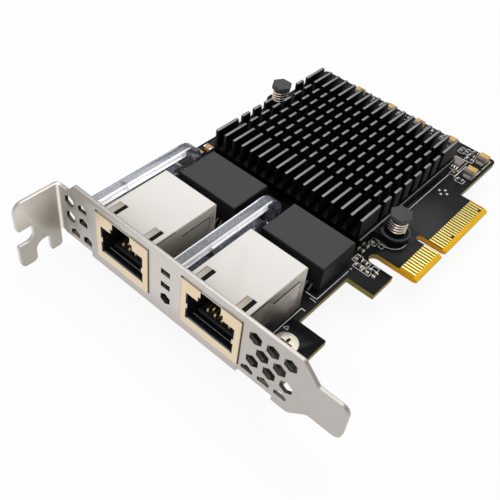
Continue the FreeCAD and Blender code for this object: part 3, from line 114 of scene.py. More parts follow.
class Look:
    """A procedural material around one Principled shader."""

    def __init__(self, name, color, metallic=0.0, roughness=0.5, specular=0.5):
        self.mat = bpy.data.materials.new(name)
        self.mat.use_nodes = True
        self.tree = self.mat.node_tree
        self.shader = self.tree.nodes["Principled BSDF"]
        self.put("Base Color", (*color, 1.0))
        self.put("Metallic", metallic)
        self.put("Roughness", roughness)
        self.put("Specular IOR Level", specular)
        self.coords = self.add("ShaderNodeTexCoord")
        self.color_out = None
        self.rough_out = None
        self.normal_out = None
        self._normal = None
        self._xyz = None

    def put(self, socket, value):
        self.shader.inputs[socket].default_value = value

    def add(self, kind, **settings):
        node = self.tree.nodes.new(kind)
        for key, value in settings.items():
            setattr(node, key, value)
        return node

    def wire(self, start, end):
        self.tree.links.new(start, end)

    def feed(self, socket, value):
        """Give a socket a number, a colour or another node's output."""
        if hasattr(value, "is_output"):
            self.wire(value, socket)
        elif isinstance(value, tuple):
            socket.default_value = (*value, 1.0)
        else:
            socket.default_value = value

    # Arithmetic and masks

    def math(self, operation, a, b=None, c=None, clamp=False):
        node = self.add("ShaderNodeMath", operation=operation, use_clamp=clamp)
        for socket, value in zip(node.inputs, (a, b, c)):
            if value is not None:
                self.feed(socket, value)
        return node.outputs[0]

    def plus(self, a, b):
        return self.math("ADD", a, b)

    def minus(self, a, b):
        return self.math("SUBTRACT", a, b)

    def times(self, a, b):
        return self.math("MULTIPLY", a, b)

    def linear(self, value, factor, offset):
        return self.math("MULTIPLY_ADD", value, factor, offset)

    def away(self, value, centre):
        return self.math("ABSOLUTE", self.minus(value, centre))

    def above(self, value, low):
        return self.math("GREATER_THAN", value, low)

    def below(self, value, high):
        return self.math("LESS_THAN", value, high)

    def within(self, value, low, high):
        return self.times(self.above(value, low), self.below(value, high))

    def near(self, value, centre, reach):
        return self.below(self.away(value, centre), reach)

    def inverse(self, mask):
        return self.minus(1.0, mask)

    def every(self, first, *others):
        """One where all the masks are one."""
        for mask in others:
            first = self.times(first, mask)
        return first

    def any_of(self, first, *others):
        for mask in others:
            first = self.math("MAXIMUM", first, mask)
        return first

    def ramp(self, value, low, high, to_low=0.0, to_high=1.0):
        node = self.add("ShaderNodeMapRange")
        for socket, amount in zip(node.inputs, (value, low, high, to_low, to_high)):
            self.feed(socket, amount)
        return node.outputs[0]

    # Places and directions

    def xyz(self):
        """Card coordinates in millimetres."""
        if self._xyz is None:
            node = self.add("ShaderNodeSeparateXYZ")
            self.wire(self.coords.outputs["Object"], node.inputs[0])
            self._xyz = [self.linear(node.outputs[axis], MM, -SHIFT[axis]) for axis in (X, Y, Z)]
        return self._xyz

    def distance(self, centre_x, centre_y):
        """Millimetres from an upright line through the card."""
        x, y, _ = self.xyz()
        squares = [
            self.math("POWER", self.minus(value, centre), 2.0)
            for value, centre in ((x, centre_x), (y, centre_y))
        ]
        return self.math("SQRT", self.plus(*squares))

    def facing(self, axis):
        """How far the true surface faces along an axis, with its sign."""
        if self._normal is None:
            geometry = self.add("ShaderNodeNewGeometry")
            self._normal = self.add("ShaderNodeSeparateXYZ")
            self.wire(geometry.outputs["True Normal"], self._normal.inputs[0])
        return self._normal.outputs[axis]

    def faces(self, axis, share=0.6):
        """Where the surface looks along an axis, either way."""
        return self.above(self.math("ABSOLUTE", self.facing(axis)), share)

    def upward(self, share=0.5):
        return self.above(self.facing(Z), share)

    # Textures and colours

    def scaled(self, scale):
        """Object coordinates stretched by a factor on each axis."""
        node = self.add("ShaderNodeMapping")
        node.inputs["Scale"].default_value = scale
        self.wire(self.coords.outputs["Object"], node.inputs["Vector"])
        return node.outputs[0]

    def noise(self, scale, detail=4.0, rough=0.5, stretch=(1, 1, 1)):
        node = self.add("ShaderNodeTexNoise")
        node.inputs["Scale"].default_value = scale
        node.inputs["Detail"].default_value = detail
        node.inputs["Roughness"].default_value = rough
        self.wire(self.scaled(stretch), node.inputs["Vector"])
        return node.outputs[0]

    def cells(self, scale, metric, stretch):
        node = self.add("ShaderNodeTexVoronoi", feature="F1", distance=metric)
        node.inputs["Scale"].default_value = scale
        self.wire(self.scaled(stretch), node.inputs["Vector"])
        return node.outputs[0]

    def mix(self, factor, a, b):
        """Mix two colours; each is a tuple or a socket."""
        node = self.add("ShaderNodeMix", data_type="RGBA")
        for index, value in ((0, factor), (6, a), (7, b)):
            self.feed(node.inputs[index], value)
        return node.outputs[2]

    def cover(self, mask, color):
        """Lay a colour over what is there."""
        self.color_out = self.mix(mask, self.color_out, color)

    def roughen(self, texture, low, high):
        """Roughness that follows a texture between two values."""
        self.rough_out = self.ramp(texture, NOISE_LOW, NOISE_HIGH, low, high)

    def bump(self, height, strength, distance):
        """Raise the surface by a texture; the distance is in millimetres."""
        node = self.add("ShaderNodeBump")
        node.inputs["Strength"].default_value = strength
        node.inputs["Distance"].default_value = distance / MM
        self.wire(height, node.inputs["Height"])
        if self.normal_out is not None:
            self.wire(self.normal_out, node.inputs["Normal"])
        self.normal_out = node.outputs[0]

    def done(self):
        if self.color_out is not None:
            self.wire(self.color_out, self.shader.inputs["Base Color"])
        if self.rough_out is not None:
            self.wire(self.rough_out, self.shader.inputs["Roughness"])
        if self.normal_out is not None:
            self.wire(self.normal_out, self.shader.inputs["Normal"])
        return self.mat


def tint(color, factor):
    return tuple(min(1.0, channel * factor) for channel in color)


def metal(name, color, roughness, spread=0.08, metallic=1.0, grain=(1, 1, 1)):
    """Plated or rolled metal: cloudy tone, fine grain in the roughness and surface."""
    look = Look(name, color, metallic=metallic, roughness=roughness)
    cloud = look.noise(scale=90.0, detail=3.0)
    fine = look.noise(scale=1500.0, detail=4.0, rough=0.6, stretch=grain)
    tone = look.mix(cloud, tint(color, 1 - spread), tint(color, 1 + spread))
    look.color_out = look.mix(look.times(fine, 0.25), tone, tint(color, 0.75))
    look.roughen(fine, roughness - 0.07, roughness + 0.09)
    look.bump(fine, strength=0.12, distance=0.05)
    return look


def moulding(name, color, roughness, texture=0.25, specular=0.4):
    """Moulded plastic or ceramic with a fine spark-eroded texture."""
    look = Look(name, color, metallic=0.0, roughness=roughness, specular=specular)
    fine = look.noise(scale=2600.0, detail=3.0, rough=0.6)
    cloud = look.noise(scale=120.0, detail=2.0)
    look.color_out = look.mix(cloud, tint(color, 0.85), tint(color, 1.15))
    look.roughen(fine, roughness - 0.06, roughness + 0.08)
    look.bump(fine, strength=texture, distance=0.03)
    return look


def bracket_look():
    """Rolled steel with painted light: painted light on the middle of the plate, a painted highlight on
    the fold and the flange's rims, a flange painted darker low down, and painted shade on the walls in
    the openings.
    """
    look = metal("bracket_steel", (0.55, 0.518, 0.486),
                 roughness=0.45, spread=0.035, metallic=0.9, grain=(1, 14, 14))
    x, y, z = look.xyz()
    plate_middle, bright_reach, fade_reach = 34.0, 6.0, 27.0
    # Painted light: the plate's front face is painted brighter towards its middle and upper part.
    plate_light_along = look.ramp(look.away(x, plate_middle), fade_reach, bright_reach)
    plate_light_upwards = look.ramp(z, -3.0, 3.0)
    look.cover(look.every(plate_light_along, plate_light_upwards, look.faces(Y, 0.5)), (0.68, 0.645, 0.606))

    flange = look.below(x, FLANGE_FACE + 0.05)
    # Painted highlight on the flange's cut edges.
    rim_highlights = look.every(flange, look.below(y, -0.5))
    look.cover(rim_highlights, (0.70, 0.675, 0.64))
    # Painted shade: the flange's side faces are painted darker low down and lighter higher up.
    flange_shading = look.mix(look.ramp(z, 3.0, 10.0), (0.47, 0.437, 0.385), (0.76, 0.715, 0.65))
    look.cover(look.every(flange, look.faces(X, 0.5)), flange_shading)

    # Painted highlight along the fold.
    fold_highlight = look.ramp(look.away(x, -SHEET), SHEET, 0.2)
    look.cover(look.every(fold_highlight, look.within(y, -0.5, 2.4)), (1.0, 0.965, 0.91))

    openings_x, openings_z = (1.0, 68.8), (-1.4, 13.6)
    openings = look.every(look.within(x, *openings_x), look.within(z, *openings_z),
                          look.within(y, 0.06, SHEET + 0.05))
    shoulder_end, shoulder_low = 5.4, 11.7
    shoulder = look.every(look.below(x, shoulder_end), look.above(z, shoulder_low))
    shaded_walls = look.every(openings, look.inverse(look.faces(Y, 0.5)), look.inverse(shoulder))
    # Painted shade on the walls inside the openings.
    look.cover(shaded_walls, (0.10, 0.088, 0.075))
    return look.done()


def mask_colors(look):
    """Black solder mask with faint tracks and holes, and a painted sheen that makes it lighter beside the
    connector.
    """
    flat = (1, 1, 0)
    rings = look.math("FRACT", look.times(look.cells(330.0, "CHEBYCHEV", flat), 3.0))
    track = look.math("COMPARE", rings, 0.5, 0.07)
    hole = look.below(look.cells(420.0, "EUCLIDEAN", flat), 0.09)
    lines = look.math("MAXIMUM", look.times(track, 0.5), hole, clamp=True)
    top = look.mix(look.noise(scale=60.0, detail=3.0), SOLDER_MASK, tint(SOLDER_MASK, 1.35))
    # Painted sheen: the mask is painted lighter round one spot beside the connector.
    bright_x, bright_y, bright_reach, fade_reach = 62.0, 62.0, 3.0, 15.0
    painted_sheen = look.ramp(look.distance(bright_x, bright_y), fade_reach, bright_reach)
    top = look.mix(painted_sheen, top, (0.034, 0.034, 0.037))
    top = look.mix(look.times(lines, 0.5), top, (0.026, 0.026, 0.028))
    return top, lines


def board_look():
    """Solder mask on the flat sides, bare laminate at the edges and between the contacts."""
    look = Look("laminate", SOLDER_MASK, metallic=0.0, roughness=0.45, specular=0.2)
    x, y, _ = look.xyz()
    top, lines = mask_colors(look)
    front, rear = CONNECTOR_START - 0.05, CONNECTOR_END + 0.15
    first, last = CONTACTS_LOW.y - 0.03, CONTACTS_HIGH.y + 0.05
    connector = look.within(y, front, rear)
    ends = look.any_of(look.within(y, front, first), look.within(y, last, rear))
    bare = look.mix(ends, (0.075, 0.045, 0.003), (0.70, 0.32, 0.008))
    top = look.mix(look.every(connector, look.above(x, CONTACTS_LOW.x - 0.02)), top, bare)
    top = look.mix(look.every(connector, look.above(x, CONTACTS_HIGH.x - 0.05)), top, (1.0, 0.55, 0.004))

    layers = look.noise(scale=900.0, detail=2.0, rough=0.5, stretch=(0.3, 0.3, 6.0))
    edge = look.mix(layers, (0.20, 0.15, 0.024), (0.36, 0.28, 0.055))
    golden_edge = look.mix(layers, (0.62, 0.26, 0.004), (0.90, 0.44, 0.010))
    tongue_front, tongue_rear, tongue_root = 43.0, 83.0, 57.0
    golden = look.every(look.within(y, tongue_front, tongue_rear),
                        look.ramp(x, tongue_root, CONTACTS_LOW.x - 0.3))
    edge = look.mix(golden, edge, golden_edge)
    look.color_out = look.mix(look.faces(Z, 0.5), edge, top)

    fine = look.noise(scale=1800.0, detail=3.0)
    look.roughen(fine, 0.36, 0.50)
    look.bump(fine, strength=0.08, distance=0.03)
    look.bump(lines, strength=0.25, distance=0.02)
    return look.done()


def edge_contact_look():
    """Bright plating with darker margins at each contact's long edges."""
    look = metal("edge_contact_gold", (0.90, 0.73, 0.24), roughness=0.3, spread=0.04, metallic=0.75)
    y = look.xyz()[Y]
    first_centre = CONTACTS_LOW.y + CONTACT_WIDTH / 2
    across = look.math("FRACT", look.minus(y, first_centre - 0.5))
    margins = look.inverse(look.near(across, 0.5, 0.28))
    look.cover(margins, (0.20, 0.12, 0.012))
    return look.done()


def heatsink_look():
    """Black anodised extrusion with painted light: painted shade between the fins, a painted highlight on
    the ear's rim, the fin tops and the base's edge, and painted light on the last fin's side.
    """
    color = (0.005, 0.005, 0.0055)
    look = Look("black_aluminium", color, metallic=0.2, roughness=0.5, specular=0.12)
    x, y, z = look.xyz()
    fine = look.noise(scale=1400.0, detail=4.0, rough=0.6, stretch=(6, 1, 6))
    look.color_out = look.mix(fine, tint(color, 0.4), tint(color, 1.2))
    # Painted shade on the base between the fins.
    shaded_spaces = look.every(look.below(z, BASE_TOP + 0.3), look.below(x, BASE_EDGE - 0.3))
    look.cover(shaded_spaces, (0.0008, 0.0008, 0.0009))

    from_pin = look.distance(NEAR_PIN.x, NEAR_PIN.y)
    ring = look.within(from_pin, EAR_RADIUS - 0.6, EAR_RADIUS + 0.1)
    ear = look.every(look.near(z, BASE_TOP, 0.1), look.above(x, BASE_EDGE + 1.1))
    # Painted highlight on the rim of the ear round the pin.
    look.cover(look.every(ring, ear), (0.085, 0.087, 0.09))

    # Painted light on the side of the last fin.
    lit_last_fins = look.every(look.above(x, BASE_EDGE - 1.8), look.above(z, BASE_TOP + 0.3))
    look.cover(look.every(look.above(look.facing(X), 0.5), lit_last_fins), (0.028, 0.028, 0.030))

    steps = look.math("DIVIDE", look.minus(x, FIRST_FIN - FIN_PITCH / 2), FIN_PITCH)
    across = look.times(look.minus(look.math("FRACT", steps), 0.5), FIN_PITCH)
    tops = look.every(look.above(z, FIN_TOP - 0.15), look.upward(), look.near(across, 0.03, 0.31))
    base_rim_highlight = look.every(look.within(x, BASE_EDGE - 0.25, BASE_EDGE + 0.15),
                          look.near(z, BASE_TOP, 0.2), look.within(y, SINK_FRONT - 0.85, SINK_REAR + 0.3))
    # Painted highlight, standing for the reflection of the light above, on the fin tops and along the
    # base's edge.
    painted_highlight = look.mix(fine, (0.24, 0.24, 0.24), (0.38, 0.38, 0.38))
    look.cover(look.any_of(tops, base_rim_highlight), painted_highlight)
    look.roughen(fine, 0.38, 0.55)
    look.bump(fine, strength=0.15, distance=0.04)
    return look.done()


def magnetics_look():
    """Dull black moulding with a finely textured top, painted lighter as lit from above."""
    color = (0.007, 0.007, 0.0075)
    look = Look("magnetics_moulding", color, metallic=0.0, roughness=0.66, specular=0.25)
    z = look.xyz()[Z]
    fine = look.noise(scale=2600.0, detail=3.0, rough=0.65)
    lit_textured_top = look.mix(fine, (0.058, 0.058, 0.060), (0.070, 0.070, 0.073))
    # Painted light: the top is painted lighter than the sides.
    look.color_out = look.mix(look.above(z, MODULE_TOP - 0.14), color, lit_textured_top)
    look.roughen(fine, 0.55, 0.72)
    look.bump(fine, strength=0.3, distance=0.04)
    return look.done()


def painted_side_reflection(look):
    """Painted reflection on the sides of a jack: the dark board low down and in front, the sky behind;
    the first jack's sides are painted lighter, as more lit.
    """
    x, y, z = look.xyz()
    first = look.below(x, BETWEEN_JACKS)
    cloud = look.noise(scale=150.0, detail=3.0, rough=0.6, stretch=(1, 1.5, 3))
    level = look.linear(y, 0.045, look.linear(z, 0.055, -0.25))
    level = look.plus(level, look.linear(cloud, 0.5, -0.38))
    level = look.plus(level, look.times(first, 0.36))
    lit = look.mix(first, (0.22, 0.19, 0.155), (0.70, 0.61, 0.48))
    tone = look.mix(look.ramp(level, 0.25, 0.7), (0.022, 0.019, 0.016), lit)
    return look.mix(look.ramp(level, 0.7, 1.1), tone, (0.72, 0.66, 0.58))


def shield_look():
    """Bright tinned sheet with a painted sheen brighter towards the rear, painted shade on the pressed
    strip beside each slot, and a painted reflection on the sides.
    """
    look = metal("shield_metal", (0.80, 0.765, 0.72),
                 roughness=0.58, spread=0.02, metallic=0.12, grain=(1, 6, 6))
    x, y, z = look.xyz()
    cloud = look.noise(scale=60.0, detail=2.0)
    rear = look.plus(y, look.linear(cloud, 6.0, -3.0))
    sheen = look.mix(look.ramp(rear, 2.0, 20.0), (0.72, 0.685, 0.635), (1.0, 0.965, 0.93))
    # Painted sheen: the top is painted brighter towards the rear.
    look.cover(0.95, sheen)

    slots = [centre + SLOT_SHIFT + side * SLOT_SPREAD / 2 for centre in JACK_CENTRES for side in (-1, 1)]
    strip_front, strip_end = 0.2, 5.9
    strips = look.any_of(*[look.near(x, slot - STRIP_WIDTH, 0.75) for slot in slots])
    on_top = look.every(look.within(y, strip_front, strip_end), look.upward(0.7),
                        look.above(z, JACK_TOP - 0.3))
    # Painted shade on the pressed strips, darker towards their rear ends.
    pressed_strip_shade = look.mix(look.ramp(y, 2.0, strip_end), (0.62, 0.56, 0.48), (0.42, 0.37, 0.30))
    look.cover(look.every(strips, on_top), pressed_strip_shade)
    look.cover(look.faces(X), painted_side_reflection(look))
    return look.done()


def front_shield_look():
    """Warm plated face; painted shade on the walls of the plug opening with a painted highlight at their
    front rim, painted shade on the upward faces behind the bracket's sheet, and a painted reflection on
    the sides.
    """
    color = (0.90, 0.735, 0.515)
    look = Look("front_shield_metal", color, metallic=0.55, roughness=0.42)
    x, y, z = look.xyz()
    fine = look.noise(scale=1500.0, detail=4.0, rough=0.6)
    look.color_out = look.mix(fine, tint(color, 0.94), tint(color, 1.05))
    behind = look.above(y, SHEET + 0.05)
    look.cover(look.every(look.faces(X), behind), painted_side_reflection(look))
    # Painted shade on the faces that look up behind the bracket's sheet.
    look.cover(look.every(look.upward(0.3), behind), (0.012, 0.011, 0.010))

    mouth_reach, mouth_low, mouth_high = 7.4, 0.6, 12.7
    mouths = look.any_of(*[look.near(x, centre, mouth_reach) for centre in JACK_CENTRES])
    shaded_walls = look.every(mouths, look.inverse(look.faces(Y, 0.5)), look.within(z, mouth_low, mouth_high))
    rim_highlight = look.below(y, 0.1)
    # Painted shade on the walls of the plug openings, with a painted highlight along their front rim.
    look.cover(shaded_walls, look.mix(rim_highlight, (0.030, 0.034, 0.046), (0.50, 0.53, 0.62)))
    look.roughen(fine, 0.33, 0.48)
    look.bump(fine, strength=0.1, distance=0.04)
    return look.done()


def housing_look():
    """Black moulding; the mouth's ledge and one thin line of the floor catch light."""
    look = moulding("housing_moulding", (0.006, 0.006, 0.0065), roughness=0.6, texture=0.25, specular=0.1)
    _, y, z = look.xyz()
    up = look.upward()
    ledge_low, floor_low, floor_high = 0.3, 2.2, 2.5
    ledge = look.every(up, look.within(z, ledge_low, floor_low), look.below(y, 1.4))
    line = look.every(up, look.within(z, floor_low, floor_high), look.near(y, 1.55, 0.08))
    look.cover(ledge, (0.40, 0.42, 0.50))
    look.cover(line, (0.42, 0.43, 0.48))
    return look.done()


def spring_contact_look():
    """Gold wires in shadow; the bends in front glint, every second one further back."""
    look = metal("spring_contact_gold", (0.07, 0.04, 0.012), roughness=0.3, spread=0.05, metallic=0.7)
    x, y, _ = look.xyz()
    row_start = JACK_CENTRES[0] - 4 * SPRING_PITCH
    second_jack = look.times(look.above(x, BETWEEN_JACKS), JACK_SPACING)
    along = look.minus(look.minus(x, second_jack), row_start)
    even = look.below(look.math("FRACT", look.math("DIVIDE", along, 2 * SPRING_PITCH)), 0.5)
    bend_front, bend_rear, bend_rear_end = 3.6, 3.8, 4.4
    front = look.every(even, look.below(y, bend_front))
    behind = look.every(look.inverse(even), look.within(y, bend_rear, bend_rear_end))
    look.cover(look.any_of(front, behind), (1.0, 0.84, 0.50))
    return look.done()


def clear_look():
    """Clear moulding with a painted, streaked highlight and glow on its lit side, painted highlights and
    glow on its upper edges, and painted shade on its front ends in the windows.
    """
    look = Look("clear_plastic", (0.5, 0.52, 0.58), metallic=0.0, roughness=0.08)
    look.put("Transmission Weight", 0.66)
    look.put("IOR", 1.49)
    x, y, z = look.xyz()
    fine = look.noise(scale=300.0, detail=2.0, rough=0.5, stretch=(1, 0.12, 1))
    lit = look.every(look.above(look.facing(X), 0.6), look.above(z, PIPE_HIGH.z - 2.0),
                     look.below(y, PIPE_HIGH.y - PIPE_BEND))
    sides = [centre + side * PIPE_HALF_WIDTH for centre in PIPE_CENTRES for side in (-1, 1)]
    edges = look.every(look.any_of(*[look.near(x, side, 0.36) for side in sides]),
                       look.above(z, PIPE_HIGH.z - 0.3))
    front = look.below(y, PIPE_LOW.y + 0.5)

    look.color_out = look.mix(look.ramp(fine, 0.35, 0.65), (0.22, 0.23, 0.27), (0.42, 0.43, 0.50))
    # Painted highlight on the lit side.
    look.cover(lit, (0.8, 0.8, 0.82))
    # Painted highlights on the upper edges.
    look.cover(edges, WHITE)
    # Painted shade on the front ends in the windows.
    look.cover(front, (0.035, 0.035, 0.032))

    # Painted glow from the emission, though the part is no lamp: streaks on the lit side and on the upper
    # edges.
    glow_streaks = look.every(lit, look.ramp(fine, 0.30, 0.55), 0.52)
    glow = look.times(look.any_of(glow_streaks, look.times(edges, 0.42)), look.inverse(front))
    look.wire(look.mix(glow, BLACK, WHITE), look.shader.inputs["Emission Color"])
    look.put("Emission Strength", 1.0)
    look.roughen(fine, 0.03, 0.10)
    look.bump(fine, strength=0.03, distance=0.04)
    return look.done()


def capacitor_look():
    """Golden moulding with a grey band towards the bracket, painted shade of the front faces."""
    look = Look("capacitor_moulding", (0.74, 0.48, 0.13), metallic=0.0, roughness=0.4)
    y = look.xyz()[Y]
    front_row, row_spacing = 91.6, 8.0
    rear = look.above(y, front_row + row_spacing / 2)
    along = look.minus(y, look.linear(rear, row_spacing, front_row))
    fine = look.noise(scale=1200.0, detail=3.0)
    gold = look.mix(fine, (0.66, 0.40, 0.10), (0.84, 0.56, 0.20))
    shaded_band = look.mix(fine, (0.14, 0.10, 0.09), (0.24, 0.18, 0.16))
    # Painted shade: the front part of each capacitor is painted grey.
    look.color_out = look.mix(look.below(along, -0.3), gold, shaded_band)
    look.roughen(fine, 0.34, 0.48)
    look.bump(fine, strength=0.2, distance=0.03)
    return look.done()


def corner_ends_look():
    """Tinned ends, golden on the part that stands alone beside the long line."""
    look = metal("corner_ends", (0.82, 0.81, 0.80), roughness=0.3)
    x, y, _ = look.xyz()
    line_front, line_left = 91.0, 56.2
    look.cover(look.every(look.below(y, line_front), look.below(x, line_left)), (0.85, 0.58, 0.20))
    return look.done()


# Looks by the record's material slot
LOOKS = {
    "bracket_steel": bracket_look(),
    "laminate": board_look(),
    "screw_steel": metal("screw_steel", (0.60, 0.55, 0.48),
                         roughness=0.42, spread=0.06, grain=(3, 3, 3)).done(),
    "black_moulding": moulding("black_moulding", (0.016, 0.016, 0.017), roughness=0.5).done(),
    "grey_rubber": moulding("grey_rubber", (0.30, 0.31, 0.33), roughness=0.8).done(),
    "black_aluminium": heatsink_look(),
    "pin_plastic": moulding("pin_plastic", (0.070, 0.069, 0.075),
                            roughness=0.55, texture=0.25, specular=0.3).done(),
    "spring_steel": metal("spring_steel", (0.86, 0.76, 0.66), roughness=0.22, spread=0.1).done(),
    "tin": metal("tin", (0.82, 0.81, 0.80), roughness=0.25).done(),
    "clear_plastic": clear_look(),
    "lamp_white": moulding("lamp_white", (0.80, 0.80, 0.70), roughness=0.3, texture=0.1).done(),
    "tan_ceramic": moulding("tan_ceramic", (0.72, 0.40, 0.14), roughness=0.45).done(),
    "dark_ceramic": moulding("dark_ceramic", (0.05, 0.045, 0.04), roughness=0.45).done(),
    "crystal_can": metal("crystal_can", (0.78, 0.76, 0.73),
                         roughness=0.3, spread=0.04, grain=(1, 6, 1)).done(),
    "solder": metal("solder", (0.78, 0.79, 0.80), roughness=0.25, spread=0.1).done(),
    "front_shield_metal": front_shield_look(),
    "shield_metal": shield_look(),
}
SLOTS = {entry["node"]: entry["material_slot"] for entry in frame["record"]["subparts"]}

# Looks of single nodes that differ from their slot's
OWN_LOOKS = (
    (edge_contact_look(), ("edge_contacts_top", "edge_contacts_bottom")),
    (housing_look(), ("jack_1_housing", "jack_2_housing")),
    (spring_contact_look(), ("jack_1_contacts", "jack_2_contacts")),
    (magnetics_look(), ("magnetics_1", "magnetics_2")),
    (metal("magnetics_tin", (0.16, 0.15, 0.135), roughness=0.4, spread=0.1).done(),
     ("magnetics_1_leads", "magnetics_2_leads")),
    (moulding("regulator_moulding", (0.33, 0.28, 0.25), roughness=0.45).done(), ("regulator",)),
    (metal("regulator_tin", (0.42, 0.41, 0.39), roughness=0.4, spread=0.1).done(), ("regulator_leads",)),
    (capacitor_look(), ("large_capacitors",)),
    (metal("wetted_feet", (0.82, 0.80, 0.78), roughness=0.4, spread=0.08, metallic=0.2).done(),
     ("large_capacitors_terminals", "rear_chip_parts_terminals")),
    (metal("copper_ends", (0.98, 0.80, 0.68), roughness=0.4, spread=0.1, metallic=0.2).done(),
     ("hook_chip_parts_terminals",)),
    (corner_ends_look(), ("corner_chip_parts_terminals",)),
)
OWN_LOOK = {node: material for material, nodes in OWN_LOOKS for node in nodes}


def look_of(node):
    return OWN_LOOK.get(node) or LOOKS[SLOTS[node]]


def paint(obj, material):
    obj.data.materials.clear()
    obj.data.materials.append(material)


def show(name, mesh, material):
    """A new object in the scene."""
    obj = bpy.data.objects.new(name, mesh)
    bpy.context.scene.collection.objects.link(obj)
    paint(obj, material)
    return obj


def mesh_from(work, name):
    """Mesh data from a bmesh, with its faces turned outwards."""
    bmesh.ops.recalc_face_normals(work, faces=work.faces)
    data = bpy.data.meshes.new(name)
    work.to_mesh(data)
    work.free()
    return data


def stand_for(piece, node):
    """The piece takes the place of its CAD node."""
    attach(piece, "root")
    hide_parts(node)


for node, obj in frame["nodes"].items():
    paint(obj, look_of(node))


# Pieces that stand for CAD nodes with softened edges

MERGE_DISTANCE = 2e-6
FLAT_ANGLE = 0.6
SHARP_ANGLE = 30.0


def dress(node, width, segments):
    """A copy of a node's mesh with merged corners and rounded edges."""
    mesh = frame["nodes"][node].data.copy()
    work = bmesh.new()
    work.from_mesh(mesh)
    bmesh.ops.remove_doubles(work, verts=work.verts, dist=MERGE_DISTANCE)
    bmesh.ops.dissolve_limit(work, angle_limit=math.radians(FLAT_ANGLE),
                             verts=work.verts, edges=work.edges)
    work.to_mesh(mesh)
    work.free()
    for polygon in mesh.polygons:
        polygon.use_smooth = True
    piece = show("dress_" + node, mesh, look_of(node))
    edges = piece.modifiers.new("edges", "BEVEL")
    edges.width = width / MM
    edges.segments = segments
    edges.limit_method = "ANGLE"
    edges.angle_limit = math.radians(SHARP_ANGLE)
    edges.harden_normals = True
    edges.use_clamp_overlap = True
    stand_for(piece, node)


WIRE_RADIUS = 0.30
WIRE_SIDES = 10
COIL_PITCH = 0.82
TURN_STEPS = 20


def wire_ring(work, centre, outward, wire):
    """One ring of the wire's corners, square to the coil's sweep."""
    ring = []
    for i in range(WIRE_SIDES):
        tilt = 2 * math.pi * i / WIRE_SIDES
        offset = outward * math.cos(tilt) * wire + Vector((0, 0, math.sin(tilt) * wire))
        ring.append(work.verts.new(centre + offset))
    return ring


def coil(node):
    """A spring of round wire in the room of its CAD node."""
    low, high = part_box(node)
    wire = WIRE_RADIUS / MM
    middle = (low + high) / 2
    radius = (high.x - low.x) / 2 - wire
    margin = 1.05 * wire
    rise = (high.z - low.z) - 2 * margin
    turns = rise / (COIL_PITCH / MM)
    count = int(turns * TURN_STEPS)
    work = bmesh.new()
    rings = []
    for i in range(count + 1):
        share = i / count
        angle = 2 * math.pi * turns * share
        outward = Vector((math.cos(angle), math.sin(angle), 0))
        centre = Vector((middle.x, middle.y, low.z + margin + rise * share)) + outward * radius
        rings.append(wire_ring(work, centre, outward, wire))
    for first, second in zip(rings, rings[1:]):
        for i in range(WIRE_SIDES):
            j = (i + 1) % WIRE_SIDES
            face = work.faces.new((first[i], first[j], second[j], second[i]))
            face.smooth = True
    work.faces.new(rings[0])
    work.faces.new(list(reversed(rings[-1])))
    piece = show("coil_" + node, mesh_from(work, "coil_" + node), look_of(node))
    stand_for(piece, node)


def dress_all(groups):
    for width, segments, nodes in groups:
        for node in nodes:
            dress(node, width, segments)


# Width of the rounded edges in millimetres, the steps across them, and the nodes
LARGE_PIECES = (
    (0.10, 2, ("bracket",)),
    (0.05, 1, ("circuit_board",)),
    (0.05, 2, ("jack_1_front_shield", "jack_1_top_shield")),
    (0.05, 2, ("jack_2_front_shield", "jack_2_top_shield")),
    (0.22, 3, ("light_pipe_1", "light_pipe_2")),
    (0.06, 2, ("magnetics_1", "magnetics_2")),
    (0.05, 1, ("heatsink",)),
    (0.08, 2, ("push_pin_near", "push_pin_far")),
    (0.70, 4, ("bracket_screws",)),
)
SMALL_PIECES = (
    (0.06, 2, ("large_capacitors", "tan_capacitors", "tan_capacitors_terminals")),
    (0.06, 2, ("regulator", "flash_chip", "crystal")),
    (0.05, 2, ("jack_1_contacts", "jack_2_contacts")),
)

dress_all(LARGE_PIECES)
for node in ("pin_spring_near", "pin_spring_far"):
    coil(node)
dress_all(SMALL_PIECES)


# Printing on the board

INK_LOW = 0.002
INK_HIGH = 0.02

# Widths of the ink
LINE = 0.22
REAR_LINE = 0.2
THIN_LINE = 0.16
OUTLINE = 0.14
ARC = 0.3
PAD = 0.6


def arc_points(cx, cy, radius, first, last, steps):
    points = []
    for i in range(steps + 1):
        angle = math.radians(first + (last - first) * i / steps)
        points.append((cx + radius * math.cos(angle), cy + radius * math.sin(angle)))
    return points


def frame_points(x, y, width, height):
    left, right = x - width / 2, x + width / 2
    front, rear = y - height / 2, y + height / 2
    return [(left, front), (right, front), (right, rear), (left, rear), (left, front)]


# Width and points
PRINTED_LINES = (
    # beside the heatsink
    (LINE, [(54.1, 66.5), (54.1, 87.6)]),
    # round the corner of the second magnetics module
    (LINE, [(52.6, 25.4), (55.75, 25.4), (55.75, 37.6)]),
    (THIN_LINE, [(54.4, 24.6), (56.2, 24.6)]),
    (LINE, [(55.75, 38.4), (55.75, 39.0)]),
    # beside the second jack, with its small triangle
    (LINE, [(54.95, 2.5), (54.95, 20.9), (56.0, 20.9)]),
    (THIN_LINE, [(55.4, 14.0), (56.6, 14.0), (56.0, 15.0), (55.4, 14.0)]),
    # round the heatsink's ears
    (ARC, arc_points(56.9, 54.5, 3.7, -125, 20, 18)),
    (ARC, arc_points(3.75, 74.4, 4.1, 90, 150, 8)),
    # in the rear corner
    (REAR_LINE, [(55.75, 87.3), (55.75, 94.4)]),
    (REAR_LINE, [(59.6, 90.0), (59.6, 95.6)]),
    (REAR_LINE, [(59.6, 96.4), (59.6, 101.6), (56.2, 101.6)]),
)
